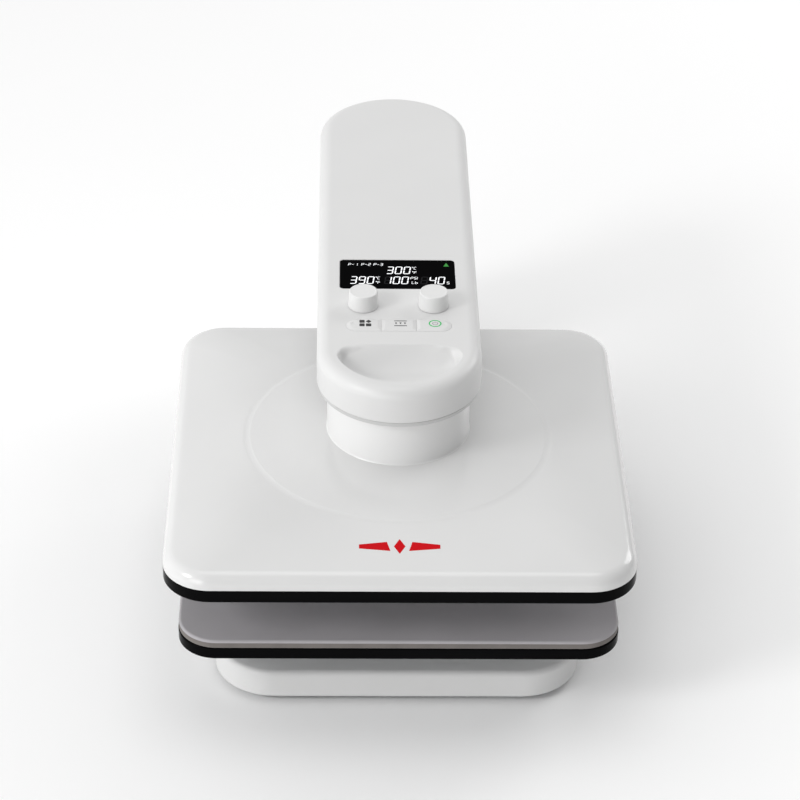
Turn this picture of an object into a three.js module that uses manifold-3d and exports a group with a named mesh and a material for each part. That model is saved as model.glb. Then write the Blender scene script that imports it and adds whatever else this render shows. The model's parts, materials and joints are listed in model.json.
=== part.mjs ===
// Swing-away heat press: a square heated head hangs from a long arm that turns on a rear column.
// Units are millimetres, +Z is up, the operator stands at -Y. Inside the model group, x = 0 and
// y = 0 is the centre of the platens; the group then moves so that its bounding box is centred.
import * as THREE from 'three';
import { mergeVertices } from 'three/addons/utils/BufferGeometryUtils.js';
import Module from 'manifold-3d';

const wasm = await Module();
wasm.setup();

// ---- driving dimensions -----------------------------------------------------------------------

const GAP = 0.3;              // clearance between pieces that touch
const SIDES = 32;             // facets of a large round
const SMALL_SIDES = 16;       // facets of a small round

const FOOT_HEIGHT = 6;
const BASE_WIDTH = 329;
const BASE_FRONT = -162;
const BASE_BACK = 385;
const BASE_CORNER = 54;
const BASE_TOP = 33;
const BASE_WALL = 3;
const BASE_FILLET = 5;
const PLATE_TOP = 12;         // upper face of the steel plate in the base

const LOWER_SIDE = 387;       // square lower platen with its rim
const LOWER_CORNER = 34;
const LOWER_RIM_BOTTOM = 73.5;
const LOWER_RIM_TOP = 84.5;
const PAD_TOP = 93;

const HEAD_SIDE = 410;
const HEAD_CORNER = 42;
const BAND_BOTTOM = 143.5;
const BAND_TOP = 156.1;
const HOUSING_EDGE = 169.5;   // where the rolled edge of the housing meets its crown
const HOUSING_ROLL = 12;
const DISC_RADIUS = 135;      // raised round field in the middle of the housing
const DISC_FOOT = 181.5;
const DISC_STEP = 1.5;
const HOUSING_TOP = 190;
const HOUSING_WALL = 2.6;
const HEATER_BOTTOM = 142.5;
const HEATER_SIDE = 375;

const NECK_RADIUS = 64.3;
const NECK_WALL = 4;
const NECK_BOTTOM = 178;
const RAM_RADIUS = 56;
const RAM_WALL = 6;
const RAM_TOP = 241;

const ARM_RADIUS = 73.8;      // half the width of the arm, and the radius of both of its ends
const ARM_REAR = 415;         // from the platen centre back to the swing axis
const ARM_BOTTOM = 237;
const ARM_SEAM = 240.8;
const ARM_TOP = 274;
const ARM_FILLET = 11;
const ARM_WALL = 2.6;
const FRAME_BOTTOM = 242;
const FRAME_TOP = 248;

const POCKET_RADIUS = 56;     // D-shaped finger pocket at the front of the arm
const POCKET_BACK = 4;
const POCKET_FLOOR = 256.8;
const KNOB_X = 32;
const KNOB_Y = 70;
const KNOB_RADIUS = 13;
const KNOB_HEIGHT = 15;
const KEY_Y = 35.6;
const KEY_ROW_LENGTH = 95.4;
const KEY_WIDTH = 20;
const DISPLAY_WIDTH = 107;
const DISPLAY_FRONT = 100;
const DISPLAY_BACK = 152.5;
const BOARD_TOP = 263.6;

const SCREW_RADIUS = 8;
const JOURNAL_RADIUS = 6;
const BELT_BOTTOM = 249;
const BELT_TOP = 254;
const SCREW_PULLEY_RADIUS = 18;
const MOTOR_PULLEY_RADIUS = 9;
const MOTOR_SHAFT_Y = 200;

const POST_RADIUS = 22;
const SHOULDER_TOP = 149;
const HUB_BOTTOM = 151.3;
const BUSH_OUTER = 26;
const HUB_OUTER = 33;
const COLUMN_TOP = 236;
const SOCKET_FACE = 68;       // flat face of the socket panel, measured back from the swing axis

// The housing's front edge and the arm's round rear end are the two ends of the whole machine.
const CENTRE_Y = (ARM_REAR + ARM_RADIUS - HEAD_SIDE / 2) / 2;

// ---- materials --------------------------------------------------------------------------------

function material(color, roughness, metalness = 0) {
  return () => new THREE.MeshStandardMaterial({ color, roughness, metalness });
}

const glossWhite = material(0xf2f2f1, 0.18);
const satinWhite = material(0xeeeeed, 0.42);
const glossBlack = material(0x0a0a0b, 0.22);
const darkPlastic = material(0x1c1d1f, 0.55);
const siliconePad = material(0x8d8788, 0.6);
const rubber = material(0x222222, 0.85);
const castAluminium = material(0xb9bcbf, 0.4, 0.9);
const steel = material(0x9a9da1, 0.35, 1);
const bronze = material(0xb08a4a, 0.35, 1);
const boardGreen = material(0x1f5a3a, 0.5);
const insulation = material(0xd9d2bd, 0.95);
const mica = material(0xb8a27a, 0.6);
const cable = material(0x2a2a2c, 0.7);

// ---- outlines ---------------------------------------------------------------------------------

function roundedRectangle(width, depth, radius, centreY = 0, inset = 0) {
  const x = width / 2 - inset;
  const y = depth / 2 - inset;
  const r = radius - inset;
  const shape = new THREE.Shape();
  shape.absarc(x - r, centreY - y + r, r, -Math.PI / 2, 0);
  shape.absarc(x - r, centreY + y - r, r, 0, Math.PI / 2);
  shape.absarc(-x + r, centreY + y - r, r, Math.PI / 2, Math.PI);
  shape.absarc(-x + r, centreY - y + r, r, Math.PI, Math.PI * 1.5);
  return shape;
}

function stadium(radius, frontY, rearY) {
  const shape = new THREE.Shape();
  shape.absarc(0, frontY, radius, Math.PI, Math.PI * 2);
  shape.absarc(0, rearY, radius, 0, Math.PI);
  return shape;
}

function pocketOutline(inset) {
  const corner = 10;
  const r = POCKET_RADIUS - inset;
  const back = POCKET_BACK - inset;
  const start = Math.asin((back - corner) / r);
  const shape = new THREE.Shape();
  shape.absarc(0, 0, r, Math.PI - start, Math.PI * 1.5);
  shape.absarc(0, 0, r, Math.PI * 1.5, Math.PI * 2 + start);
  shape.quadraticCurveTo(r, back, r - corner, back);
  shape.lineTo(-r + corner, back);
  shape.quadraticCurveTo(-r, back, r * Math.cos(Math.PI - start), back - corner);
  return shape;
}

// The base seen from above: a rounded deck whose rear edge flows into a round lobe for the column.
function baseOutline(inset) {
  const blend = ARM_REAR - BASE_BACK;
  const corner = BASE_CORNER - inset;
  const cornerX = BASE_WIDTH / 2 - BASE_CORNER;
  const blendX = ARM_RADIUS + blend;
  const shape = new THREE.Shape();
  shape.absarc(cornerX, BASE_FRONT + BASE_CORNER, corner, -Math.PI / 2, 0);
  shape.absarc(cornerX, BASE_BACK - BASE_CORNER, corner, 0, Math.PI / 2);
  shape.absarc(blendX, ARM_REAR, blend + inset, -Math.PI / 2, -Math.PI, true);
  shape.absarc(0, ARM_REAR, ARM_RADIUS - inset, 0, Math.PI / 2);
  shape.absarc(0, ARM_REAR, ARM_RADIUS - inset, Math.PI / 2, Math.PI);
  shape.absarc(-blendX, ARM_REAR, blend + inset, 0, -Math.PI / 2, true);
  shape.absarc(-cornerX, BASE_BACK - BASE_CORNER, corner, Math.PI / 2, Math.PI);
  shape.absarc(-cornerX, BASE_FRONT + BASE_CORNER, corner, Math.PI, Math.PI * 1.5);
  return shape;
}

function cleanPoints(shape, detail) {
  const points = shape.getPoints(detail);
  return points.filter((point, i) => point.distanceTo(points[(i + 1) % points.length]) > 1e-4);
}

// ---- solids -----------------------------------------------------------------------------------

function volume(geometry) {
  const position = geometry.attributes.position;
  const corners = [0, 1, 2].map(() => new THREE.Vector3());
  let total = 0;
  for (let i = 0; i < geometry.index.count; i += 3) {
    corners.forEach((corner, k) => corner.fromBufferAttribute(position, geometry.index.getX(i + k)));
    total += corners[0].dot(corners[1].cross(corners[2]));
  }
  return total;
}

function solid(geometry) {
  const plain = geometry.clone();
  plain.deleteAttribute('normal');
  plain.deleteAttribute('uv');
  const merged = mergeVertices(plain, 1e-4);
  const index = Uint32Array.from(merged.index.array);
  if (volume(merged) < 0) index.reverse();
  const kept = [];
  for (let i = 0; i < index.length; i += 3) {
    const [a, b, c] = [index[i], index[i + 1], index[i + 2]];
    if (a !== b && b !== c && c !== a) kept.push(a, b, c);
  }
  return new wasm.Manifold(new wasm.Mesh({
    numProp: 3,
    vertProperties: Float32Array.from(merged.attributes.position.array),
    triVerts: Uint32Array.from(kept),
  }));
}

function slab(shape, bottom, top, detail = 3) {
  const geometry = new THREE.ExtrudeGeometry(shape, {
    depth: top - bottom, bevelEnabled: false, curveSegments: detail,
  });
  return solid(geometry.translate(0, 0, bottom));
}

function block(low, high) {
  const size = high.map((value, axis) => value - low[axis]);
  const geometry = new THREE.BoxGeometry(...size);
  return solid(geometry.translate(...low.map((value, axis) => value + size[axis] / 2)));
}

// A turned piece: the profile is a list of [radius, z] corners, closed by itself or on the axis.
function turned(profile, x = 0, y = 0, sides = SIDES) {
  const points = profile.map(([radius, z]) => new THREE.Vector2(radius, z));
  if (profile.some(([radius]) => radius > 0) && profile[0][0] > 0) points.push(points[0].clone());
  const geometry = new THREE.LatheGeometry(points, sides);
  geometry.rotateX(Math.PI / 2);
  return solid(geometry.translate(x, y, 0));
}

function rod(radius, bottom, top, x = 0, y = 0, sides = SIDES) {
  return turned([[0, bottom], [radius, bottom], [radius, top], [0, top]], x, y, sides);
}

function tube(inner, outer, bottom, top, x = 0, y = 0, sides = SIDES) {
  return turned([[inner, bottom], [outer, bottom], [outer, top], [inner, top]], x, y, sides);
}

// A rod whose axis lies along Y.
function lyingRod(radius, front, back, x, z, sides = SMALL_SIDES) {
  const geometry = new THREE.CylinderGeometry(radius, radius, back - front, sides);
  return solid(geometry.translate(x, (front + back) / 2, z));
}

// Joins rings that hold the same number of points into one closed body with flat ends.
function loft(rings) {
  const count = rings[0].length;
  const positions = rings.flat().flatMap((p) => [p.x, p.y, p.z]);
  const index = [];
  for (let r = 0; r < rings.length - 1; r += 1) {
    for (let i = 0; i < count; i += 1) {
      const a = r * count + i;
      const b = r * count + (i + 1) % count;
      index.push(a, b, b + count, a, b + count, a + count);
    }
  }
  const last = (rings.length - 1) * count;
  const flat = (ring) => ring.map((p) => new THREE.Vector2(p.x, p.y));
  THREE.ShapeUtils.triangulateShape(flat(rings[0]), []).forEach(([a, b, c]) => index.push(a, c, b));
  THREE.ShapeUtils.triangulateShape(flat(rings[rings.length - 1]), [])
    .forEach(([a, b, c]) => index.push(last + a, last + b, last + c));
  const geometry = new THREE.BufferGeometry();
  geometry.setAttribute('position', new THREE.Float32BufferAttribute(positions, 3));
  geometry.setIndex(index);
  return solid(geometry);
}

// Stacks one outline at several levels; each level is [z, inset].
function stacked(outline, levels, detail = 3) {
  return loft(levels.map(([z, inset]) => (
    cleanPoints(outline(inset), detail).map((p) => new THREE.Vector3(p.x, p.y, z))
  )));
}

// Levels of a quarter round that closes a body at z = top.
function roundedTop(top, radius, startInset = 0, steps = 4) {
  const levels = [];
  for (let i = 0; i <= steps; i += 1) {
    const angle = (i / steps) * Math.PI / 2;
    levels.push([top - radius + radius * Math.sin(angle), startInset + radius * (1 - Math.cos(angle))]);
  }
  return levels;
}

function cut(body, ...tools) {
  return tools.reduce((result, tool) => result.subtract(tool), body);
}

function join(body, ...others) {
  return others.reduce((result, other) => result.add(other), body);
}

const model = new THREE.Group();

function add(name, body, makeMaterial) {
  const { vertProperties, triVerts } = body.getMesh();
  const geometry = new THREE.BufferGeometry();
  geometry.setAttribute('position', new THREE.BufferAttribute(vertProperties, 3));
  geometry.setIndex(new THREE.BufferAttribute(triVerts, 1));
  geometry.computeVertexNormals();
  const mesh = new THREE.Mesh(geometry, makeMaterial());
  mesh.name = name;
  model.add(mesh);
}

// ---- base -------------------------------------------------------------------------------------

function baseBody(inset, bottom, top, fillet, steps = 2) {
  return stacked(baseOutline, [[bottom, inset], ...roundedTop(top, fillet, inset, steps)]);
}

const PEDESTAL_SIDE = 200;
const PEDESTAL_CORNER = 24;
const POST_FLANGE = 55;

function addBase() {
  const opening = (side) => roundedRectangle(side, side, PEDESTAL_CORNER);
  const shell = cut(
    baseBody(0, FOOT_HEIGHT, BASE_TOP, BASE_FILLET),
    baseBody(BASE_WALL, FOOT_HEIGHT - 1, BASE_TOP - BASE_WALL, BASE_FILLET - BASE_WALL, 1),
    slab(opening(PEDESTAL_SIDE + 1), BASE_TOP - 5, BASE_TOP + 1),
    rod(POST_FLANGE + 1, BASE_TOP - 5, BASE_TOP + 1, 0, ARM_REAR),
  );
  add('base_shell', shell, satinWhite);
  const plateInset = BASE_WALL + 0.5;
  const plate = slab(baseOutline(plateInset), FOOT_HEIGHT + 1, PLATE_TOP);
  add('base_plate', plate, steel);
  addFeet();
}

function addFeet() {
  const footRadius = 13;
  const places = {
    front_left: [-125, BASE_FRONT + 37],
    front_right: [125, BASE_FRONT + 37],
    rear_left: [-125, BASE_BACK - 37],
    rear_right: [125, BASE_BACK - 37],
    column: [0, ARM_REAR + 30],
  };
  for (const [place, [x, y]] of Object.entries(places)) {
    const top = FOOT_HEIGHT + 1 - GAP;
    const profile = [[0, 0], [footRadius - 2, 0], [footRadius, 2], [footRadius, top], [0, top]];
    add(`foot_${place}`, turned(profile, x, y, SMALL_SIDES), rubber);
  }
}

function addPedestal() {
  const outline = (side) => roundedRectangle(side, side, PEDESTAL_CORNER);
  const bottom = PLATE_TOP + GAP;
  const top = LOWER_RIM_BOTTOM + 2;
  const wall = 6;
  const walls = cut(
    join(
      slab(outline(PEDESTAL_SIDE + 20), bottom, bottom + 8),
      slab(outline(PEDESTAL_SIDE), bottom, top),
    ),
    slab(outline(PEDESTAL_SIDE - 2 * wall), bottom - 1, top + 1),
  );
  const rib = block([-PEDESTAL_SIDE / 2 + 2, -wall / 2, bottom], [PEDESTAL_SIDE / 2 - 2, wall / 2, top]);
  add('platen_pedestal', join(walls, rib), castAluminium);
}

function addLowerPlaten() {
  const square = (side, corner) => roundedRectangle(side, side, corner);
  const platenSide = LOWER_SIDE - 20;
  const platenCorner = LOWER_CORNER - 10;
  const lip = 2;
  const rim = cut(
    slab(square(LOWER_SIDE, LOWER_CORNER), LOWER_RIM_BOTTOM, LOWER_RIM_TOP),
    slab(square(platenSide, platenCorner), LOWER_RIM_BOTTOM + lip, LOWER_RIM_TOP + 1),
    slab(square(platenSide - 16, platenCorner - 8), LOWER_RIM_BOTTOM - 1, LOWER_RIM_TOP + 1),
  );
  add('lower_rim', rim, glossBlack);
  const platenBottom = LOWER_RIM_BOTTOM + lip + GAP;
  const platenOutline = square(platenSide - 2 * GAP, platenCorner - GAP);
  add('lower_platen', slab(platenOutline, platenBottom, LOWER_RIM_TOP), castAluminium);
  const padOutline = (inset) => roundedRectangle(LOWER_SIDE - 1, LOWER_SIDE - 1, LOWER_CORNER, 0, inset);
  const padLevels = [[LOWER_RIM_TOP + GAP, 0], ...roundedTop(PAD_TOP, 2.5, 0, 2)];
  add('silicone_pad', stacked(padOutline, padLevels), siliconePad);
}

// ---- rear column ------------------------------------------------------------------------------

const INLET_Z = 70;
const SWITCH_Z = 106;
const SWITCH_PIVOT_Y = ARM_REAR + SOCKET_FACE - 5;
const BACK_FACE = ARM_REAR + SOCKET_FACE;

function addColumn() {
  const wall = 3;
  const bottom = BASE_TOP + GAP;
  const sleeve = turned([
    [NECK_RADIUS - wall, bottom], [NECK_RADIUS, bottom], [NECK_RADIUS, COLUMN_TOP - 1.5],
    [NECK_RADIUS - 1.5, COLUMN_TOP], [40, COLUMN_TOP], [40, COLUMN_TOP - wall],
    [NECK_RADIUS - wall, COLUMN_TOP - wall],
  ], 0, ARM_REAR);
  const panelHalf = 36;
  const panel = block([-panelHalf, ARM_REAR + 40, 48], [panelHalf, BACK_FACE, 128]);
  const cavity = block([-panelHalf + wall, ARM_REAR + 20, 48 + wall], [panelHalf - wall, BACK_FACE - wall, 128 - wall]);
  const core = rod(NECK_RADIUS - wall, bottom - 1, COLUMN_TOP - wall - 1, 0, ARM_REAR);
  const cover = cut(
    join(sleeve, panel),
    cavity,
    core,
    block([-14.2, ARM_REAR + 30, INLET_Z - 10.4], [14.2, BACK_FACE + 1, INLET_Z + 10.4]),
    block([-10.2, ARM_REAR + 30, SWITCH_Z - 14.2], [10.2, BACK_FACE + 1, SWITCH_Z + 14.2]),
  );
  add('column_cover', cover, satinWhite);
}

function addPivotPost() {
  const bore = 10;
  const bottom = PLATE_TOP + GAP;
  const shoulder = 50;
  const post = turned([
    [bore, bottom], [POST_FLANGE, bottom], [POST_FLANGE, bottom + 8], [30, bottom + 8],
    [30, SHOULDER_TOP - 9], [shoulder, SHOULDER_TOP - 7], [shoulder, SHOULDER_TOP],
    [POST_RADIUS, SHOULDER_TOP], [POST_RADIUS, FRAME_TOP + 10], [bore, FRAME_TOP + 10],
  ], 0, ARM_REAR);
  add('pivot_post', post, steel);
  const washer = tube(POST_RADIUS + GAP, HUB_OUTER, SHOULDER_TOP + GAP, HUB_BOTTOM - GAP, 0, ARM_REAR);
  add('thrust_washer', washer, bronze);
  const nut = tube(POST_RADIUS + GAP, 31, FRAME_TOP + 0.4, FRAME_TOP + 8.4, 0, ARM_REAR);
  add('pivot_nut', nut, steel);
}

const STOP_INNER = 36;
const STOP_OUTER = 50;
const STOP_FINGER_HALF = 8;   // half the angle of the hub's stop finger, in degrees
const SWING_RANGE = 90;       // degrees
const STOP_PLAY = 0.5;        // degrees between the finger and each end of the stop ring
const STOP_START = 180;       // the finger points to -X at rest

function ringSector(inner, outer, startDegrees, endDegrees, bottom, top) {
  const [start, end] = [startDegrees, endDegrees].map(THREE.MathUtils.degToRad);
  const shape = new THREE.Shape();
  shape.absarc(0, 0, outer, start, end, false);
  shape.absarc(0, 0, inner, end, start, true);
  return slab(shape, bottom, top, 6).translate(0, ARM_REAR, 0);
}

function addSwingStop() {
  const start = STOP_START + SWING_RANGE + STOP_FINGER_HALF + STOP_PLAY;
  const end = STOP_START + 360 - STOP_FINGER_HALF - STOP_PLAY;
  const ring = ringSector(STOP_INNER, STOP_OUTER, start, end, SHOULDER_TOP + GAP, SHOULDER_TOP + 9);
  add('swing_stop', ring, steel);
}

function addPowerSocket() {
  const flangeTop = 2.5;
  const bodyHalf = [13.8, 10];
  const recessHalf = [12, 8.2];
  const depth = 17;
  const front = BACK_FACE + GAP;
  const face = front + flangeTop;
  const shell = cut(
    join(
      block([-24, front, INLET_Z - 14], [24, face, INLET_Z + 14]),
      block([-bodyHalf[0], BACK_FACE - 18, INLET_Z - bodyHalf[1]], [bodyHalf[0], face, INLET_Z + bodyHalf[1]]),
    ),
    block([-recessHalf[0], face - depth, INLET_Z - recessHalf[1]], [recessHalf[0], face + 1, INLET_Z + recessHalf[1]]),
  );
  const pins = [[-7, -3.5], [0, 0], [7, -3.5]].map(([x, z]) => block(
    [x - 1, face - depth - 1, INLET_Z + z - 2],
    [x + 1, face - 3, INLET_Z + z + 2],
  ));
  add('power_inlet', join(shell, ...pins), darkPlastic);
}

function addPowerSwitch() {
  const front = BACK_FACE + GAP;
  const bezel = cut(
    join(
      block([-12.5, front, SWITCH_Z - 17], [12.5, front + 2, SWITCH_Z + 17]),
      block([-9.8, BACK_FACE - 17, SWITCH_Z - 13.8], [9.8, front + 2, SWITCH_Z + 13.8]),
    ),
    block([-8, BACK_FACE - 15, SWITCH_Z - 12.6], [8, front + 3, SWITCH_Z + 12.6]),
  );
  add('switch_bezel', bezel, darkPlastic);
  const disc = lyingDisc(12, 7.6);
  const limits = block([-8, SWITCH_PIVOT_Y - 6, SWITCH_Z - 20], [8, SWITCH_PIVOT_Y + 12, SWITCH_Z + 20]);
  const hollow = slab(rockerHollow(), -8, 8).rotate([90, 0, 90]).translate(0, SWITCH_PIVOT_Y, SWITCH_Z);
  const rocker = cut(disc.intersect(limits), hollow);
  const rest = 10;            // degrees: the lower half is pressed in at rest
  const turn = rocker.translate(0, -SWITCH_PIVOT_Y, -SWITCH_Z).rotate([rest, 0, 0]);
  add('power_rocker', turn.translate(0, SWITCH_PIVOT_Y, SWITCH_Z), darkPlastic);
}

function lyingDisc(radius, halfWidth) {
  const geometry = new THREE.CylinderGeometry(radius, radius, 2 * halfWidth, SIDES);
  geometry.rotateZ(Math.PI / 2);
  return solid(geometry.translate(0, SWITCH_PIVOT_Y, SWITCH_Z));
}

// The shallow V that takes the crown off the rocker's disc; drawn in the (y, z) plane.
function rockerHollow() {
  const shape = new THREE.Shape();
  shape.moveTo(5, 0);
  shape.lineTo(7.5, 13);
  shape.lineTo(14, 13);
  shape.lineTo(14, -13);
  shape.lineTo(7.5, -13);
  return shape;
}

// ---- swing arm --------------------------------------------------------------------------------

const SCREW_PLACES = [[-62, 130], [62, 130], [-62, 290], [62, 290]];
const SCREW_HOLE = 2;
const SCREW_SIDES = 8;
const ARM_DETAIL = 7;
const POCKET_DETAIL = 3;

function addArmShells() {
  const outline = (inset) => stadium(ARM_RADIUS - inset, 0, ARM_REAR);
  const outer = stacked(outline, [[ARM_SEAM, 0], ...roundedTop(ARM_TOP, ARM_FILLET, 0, 3)], ARM_DETAIL);
  const innerRound = ARM_FILLET - ARM_WALL;
  const innerLevels = [[ARM_SEAM - 1, ARM_WALL], ...roundedTop(ARM_TOP - ARM_WALL, innerRound, ARM_WALL, 2)];
  const inner = stacked(outline, innerLevels, ARM_DETAIL);
  const pocketSkin = 2.4;
  const pocketCup = stacked(pocketOutline, [
    [POCKET_FLOOR - pocketSkin, 12], [POCKET_FLOOR + 3, 3.5], [POCKET_FLOOR + 8, -1],
    [ARM_TOP - 1, -3.5],
  ], POCKET_DETAIL);
  const pocket = stacked(pocketOutline, [
    [POCKET_FLOOR, 13], [POCKET_FLOOR + 3, 6.5], [POCKET_FLOOR + 8, 2.5], [ARM_TOP - 4, 0.5],
    [ARM_TOP - 1.4, -0.6], [ARM_TOP + 0.1, -3.2],
  ], POCKET_DETAIL);
  const bosses = SCREW_PLACES.map(([x, y]) => rod(5, ARM_SEAM + 1, ARM_TOP - 1, x, y, SMALL_SIDES));
  const bossHoles = SCREW_PLACES.map(([x, y]) => rod(SCREW_HOLE, ARM_SEAM, ARM_TOP - 15, x, y, SCREW_SIDES));
  const skinTop = ARM_TOP + 1;
  const skinBottom = ARM_TOP - ARM_WALL - 1;
  const displayDepth = DISPLAY_BACK - DISPLAY_FRONT;
  const displayCentre = (DISPLAY_BACK + DISPLAY_FRONT) / 2;
  const window = roundedRectangle(DISPLAY_WIDTH, displayDepth, 3.5, displayCentre);
  const keySlot = roundedRectangle(KEY_ROW_LENGTH, KEY_WIDTH, KEY_WIDTH / 2 - 0.01, KEY_Y);
  const shell = cut(
    join(cut(outer, inner), pocketCup, ...bosses),
    pocket,
    slab(window, skinBottom, skinTop, 2),
    slab(keySlot, skinBottom, skinTop, 4),
    rod(4.5, skinBottom, skinTop, -KNOB_X, KNOB_Y, SMALL_SIDES),
    rod(4.5, skinBottom, skinTop, KNOB_X, KNOB_Y, SMALL_SIDES),
    ...bossHoles,
  );
  add('arm_upper_shell', shell, satinWhite);
  addLowerCover();
}

function addLowerCover() {
  const inset = 0.5;
  const top = ARM_SEAM - GAP;
  const outline = (i) => stadium(ARM_RADIUS - inset - i, 0, ARM_REAR);
  const cover = cut(
    stacked(outline, [[ARM_BOTTOM, 1], [ARM_BOTTOM + 1, 0], [top, 0]], ARM_DETAIL),
    rod(NECK_RADIUS + 0.5, ARM_BOTTOM - 1, top + 1),
    rod(52, ARM_BOTTOM - 1, top + 1, 0, ARM_REAR),
    ...SCREW_PLACES.map(([x, y]) => rod(SCREW_HOLE, ARM_BOTTOM - 1, top + 1, x, y, SCREW_SIDES)),
  );
  add('arm_lower_cover', cover, satinWhite);
  SCREW_PLACES.forEach(([x, y], index) => {
    const head = rod(3.5, ARM_BOTTOM - 2.2, ARM_BOTTOM - GAP, x, y, SMALL_SIDES);
    const shank = rod(SCREW_HOLE - GAP, ARM_BOTTOM - 1, ARM_SEAM + 8, x, y, SCREW_SIDES);
    add(`cover_screw_${index + 1}`, join(head, shank), steel);
  });
}

const MOTOR_FRONT = 228;
const MOTOR_BACK = 290;
const MOTOR_RADIUS = 13.5;
const MOTOR_Z = 257;

function addArmFrame() {
  const railHalf = 53;
  const flange = 4;
  const plate = join(
    slab(stadium(railHalf, 0, ARM_REAR), FRAME_BOTTOM, FRAME_TOP, ARM_DETAIL),
    rod(66, FRAME_BOTTOM, FRAME_TOP),
  );
  const rails = [-1, 1].map((side) => block(
    [Math.min(side * railHalf, side * (railHalf - flange)), 60, FRAME_BOTTOM],
    [Math.max(side * railHalf, side * (railHalf - flange)), ARM_REAR, BOARD_TOP - 4],
  ));
  const motorWindow = block(
    [-MOTOR_RADIUS - 2, MOTOR_FRONT - 6, FRAME_BOTTOM - 1],
    [MOTOR_RADIUS + 2, MOTOR_BACK + 4, FRAME_TOP + 1],
  );
  const frame = cut(
    join(plate, ...rails),
    motorWindow,
    rod(JOURNAL_RADIUS + 1, FRAME_BOTTOM - 1, FRAME_TOP + 1, 0, 0, SMALL_SIDES),
    rod(POST_RADIUS + 1.5, FRAME_BOTTOM - 1, FRAME_TOP + 1, 0, ARM_REAR),
  );
  add('arm_frame', frame, steel);
}

function addPivotHub() {
  const flange = 50;
  const top = FRAME_BOTTOM - GAP;
  const barrel = turned([
    [BUSH_OUTER + GAP, HUB_BOTTOM], [HUB_OUTER, HUB_BOTTOM], [HUB_OUTER, top - 4],
    [flange, top - 4], [flange, top], [BUSH_OUTER + GAP, top],
  ], 0, ARM_REAR);
  const finger = ringSector(
    HUB_OUTER - 2, STOP_OUTER - 1,
    STOP_START - STOP_FINGER_HALF, STOP_START + STOP_FINGER_HALF,
    HUB_BOTTOM, SHOULDER_TOP + 8,
  );
  add('pivot_hub', join(barrel, finger), castAluminium);
  const bushLength = 20;
  const upper = tube(POST_RADIUS + GAP, BUSH_OUTER, top - bushLength, top, 0, ARM_REAR);
  const lower = tube(POST_RADIUS + GAP, BUSH_OUTER, HUB_BOTTOM, HUB_BOTTOM + bushLength, 0, ARM_REAR);
  add('upper_bush', upper, bronze);
  add('lower_bush', lower, bronze);
}

const KEYWAY_HALF = 4;
const KEYWAY_DEPTH = 3;
const GUIDE_TOP = 200;

function addNeck() {
  const inner = NECK_RADIUS - NECK_WALL;
  const sleeve = tube(inner, NECK_RADIUS, NECK_BOTTOM, FRAME_BOTTOM - GAP);
  add('neck_sleeve', sleeve, satinWhite);
  const ring = tube(RAM_RADIUS + GAP, inner - GAP, NECK_BOTTOM + GAP, GUIDE_TOP);
  const key = block(
    [-KEYWAY_HALF + GAP, RAM_RADIUS - KEYWAY_DEPTH + GAP, NECK_BOTTOM + GAP],
    [KEYWAY_HALF - GAP, inner - 2, GUIDE_TOP],
  );
  add('guide_bush', join(ring, key), bronze);
}

// ---- lift drive -------------------------------------------------------------------------------

const SCREW_BOTTOM = 171.5;
const SCREW_SHOULDER = 230.5;
const NUT_BOTTOM = 213;
const NUT_TOP = 229.5;
const NUT_PLATE_BOTTOM = 216;
const NUT_PLATE_TOP = 222;
const NUT_RADIUS = 15;

function addLiftDrive() {
  const top = BELT_TOP + 0.1;
  const screw = turned([
    [0, SCREW_BOTTOM], [SCREW_RADIUS - 1, SCREW_BOTTOM], [SCREW_RADIUS, SCREW_BOTTOM + 1],
    [SCREW_RADIUS, SCREW_SHOULDER], [JOURNAL_RADIUS, SCREW_SHOULDER], [JOURNAL_RADIUS, top], [0, top],
  ], 0, 0, SMALL_SIDES);
  add('lead_screw', screw, steel);
  const bearing = tube(JOURNAL_RADIUS + GAP, 21, SCREW_SHOULDER + GAP, FRAME_BOTTOM - GAP, 0, 0, SMALL_SIDES);
  add('screw_bearing', bearing, steel);
  const pulley = tube(JOURNAL_RADIUS + GAP, SCREW_PULLEY_RADIUS, BELT_BOTTOM, BELT_TOP);
  add('screw_pulley', pulley, castAluminium);
  const shaftTop = BOARD_TOP;
  const motorPulley = turned([
    [0, BELT_BOTTOM], [MOTOR_PULLEY_RADIUS, BELT_BOTTOM], [MOTOR_PULLEY_RADIUS, BELT_TOP],
    [4, BELT_TOP], [4, shaftTop], [0, shaftTop],
  ], 0, MOTOR_SHAFT_Y, SMALL_SIDES);
  add('motor_pulley', motorPulley, castAluminium);
  const belt = beltLoop(1.5).subtract(beltLoop(0, 1));
  add('drive_belt', belt, rubber);
  addGearMotor(shaftTop);
}

// The area inside a belt that runs round both pulleys, grown by the belt's thickness.
function beltLoop(thickness, overrun = 0) {
  const large = SCREW_PULLEY_RADIUS + GAP + thickness;
  const small = MOTOR_PULLEY_RADIUS + GAP + thickness;
  const lean = Math.asin((large - small) / MOTOR_SHAFT_Y);
  const shape = new THREE.Shape();
  shape.absarc(0, 0, large, Math.PI - lean, Math.PI * 2 + lean);
  shape.absarc(0, MOTOR_SHAFT_Y, small, lean, Math.PI - lean);
  return slab(shape, BELT_BOTTOM - overrun, BELT_TOP + overrun, 8);
}

function addGearMotor(shaftTop) {
  const bottom = BELT_TOP + 0.9;
  const top = ARM_TOP - ARM_WALL - 1;
  const box = cut(
    join(
      block([-22, 178, bottom], [22, 224, top]),
      block([-15, 222, MOTOR_Z - MOTOR_RADIUS], [15, MOTOR_FRONT - GAP, top]),
    ),
    rod(4 + GAP, bottom - 1, shaftTop + 0.5, 0, MOTOR_SHAFT_Y, SMALL_SIDES),
  );
  add('drive_gearbox', box, castAluminium);
  add('drive_motor', lyingRod(MOTOR_RADIUS, MOTOR_FRONT, MOTOR_BACK, 0, MOTOR_Z), steel);
}

// ---- controls ---------------------------------------------------------------------------------

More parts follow.
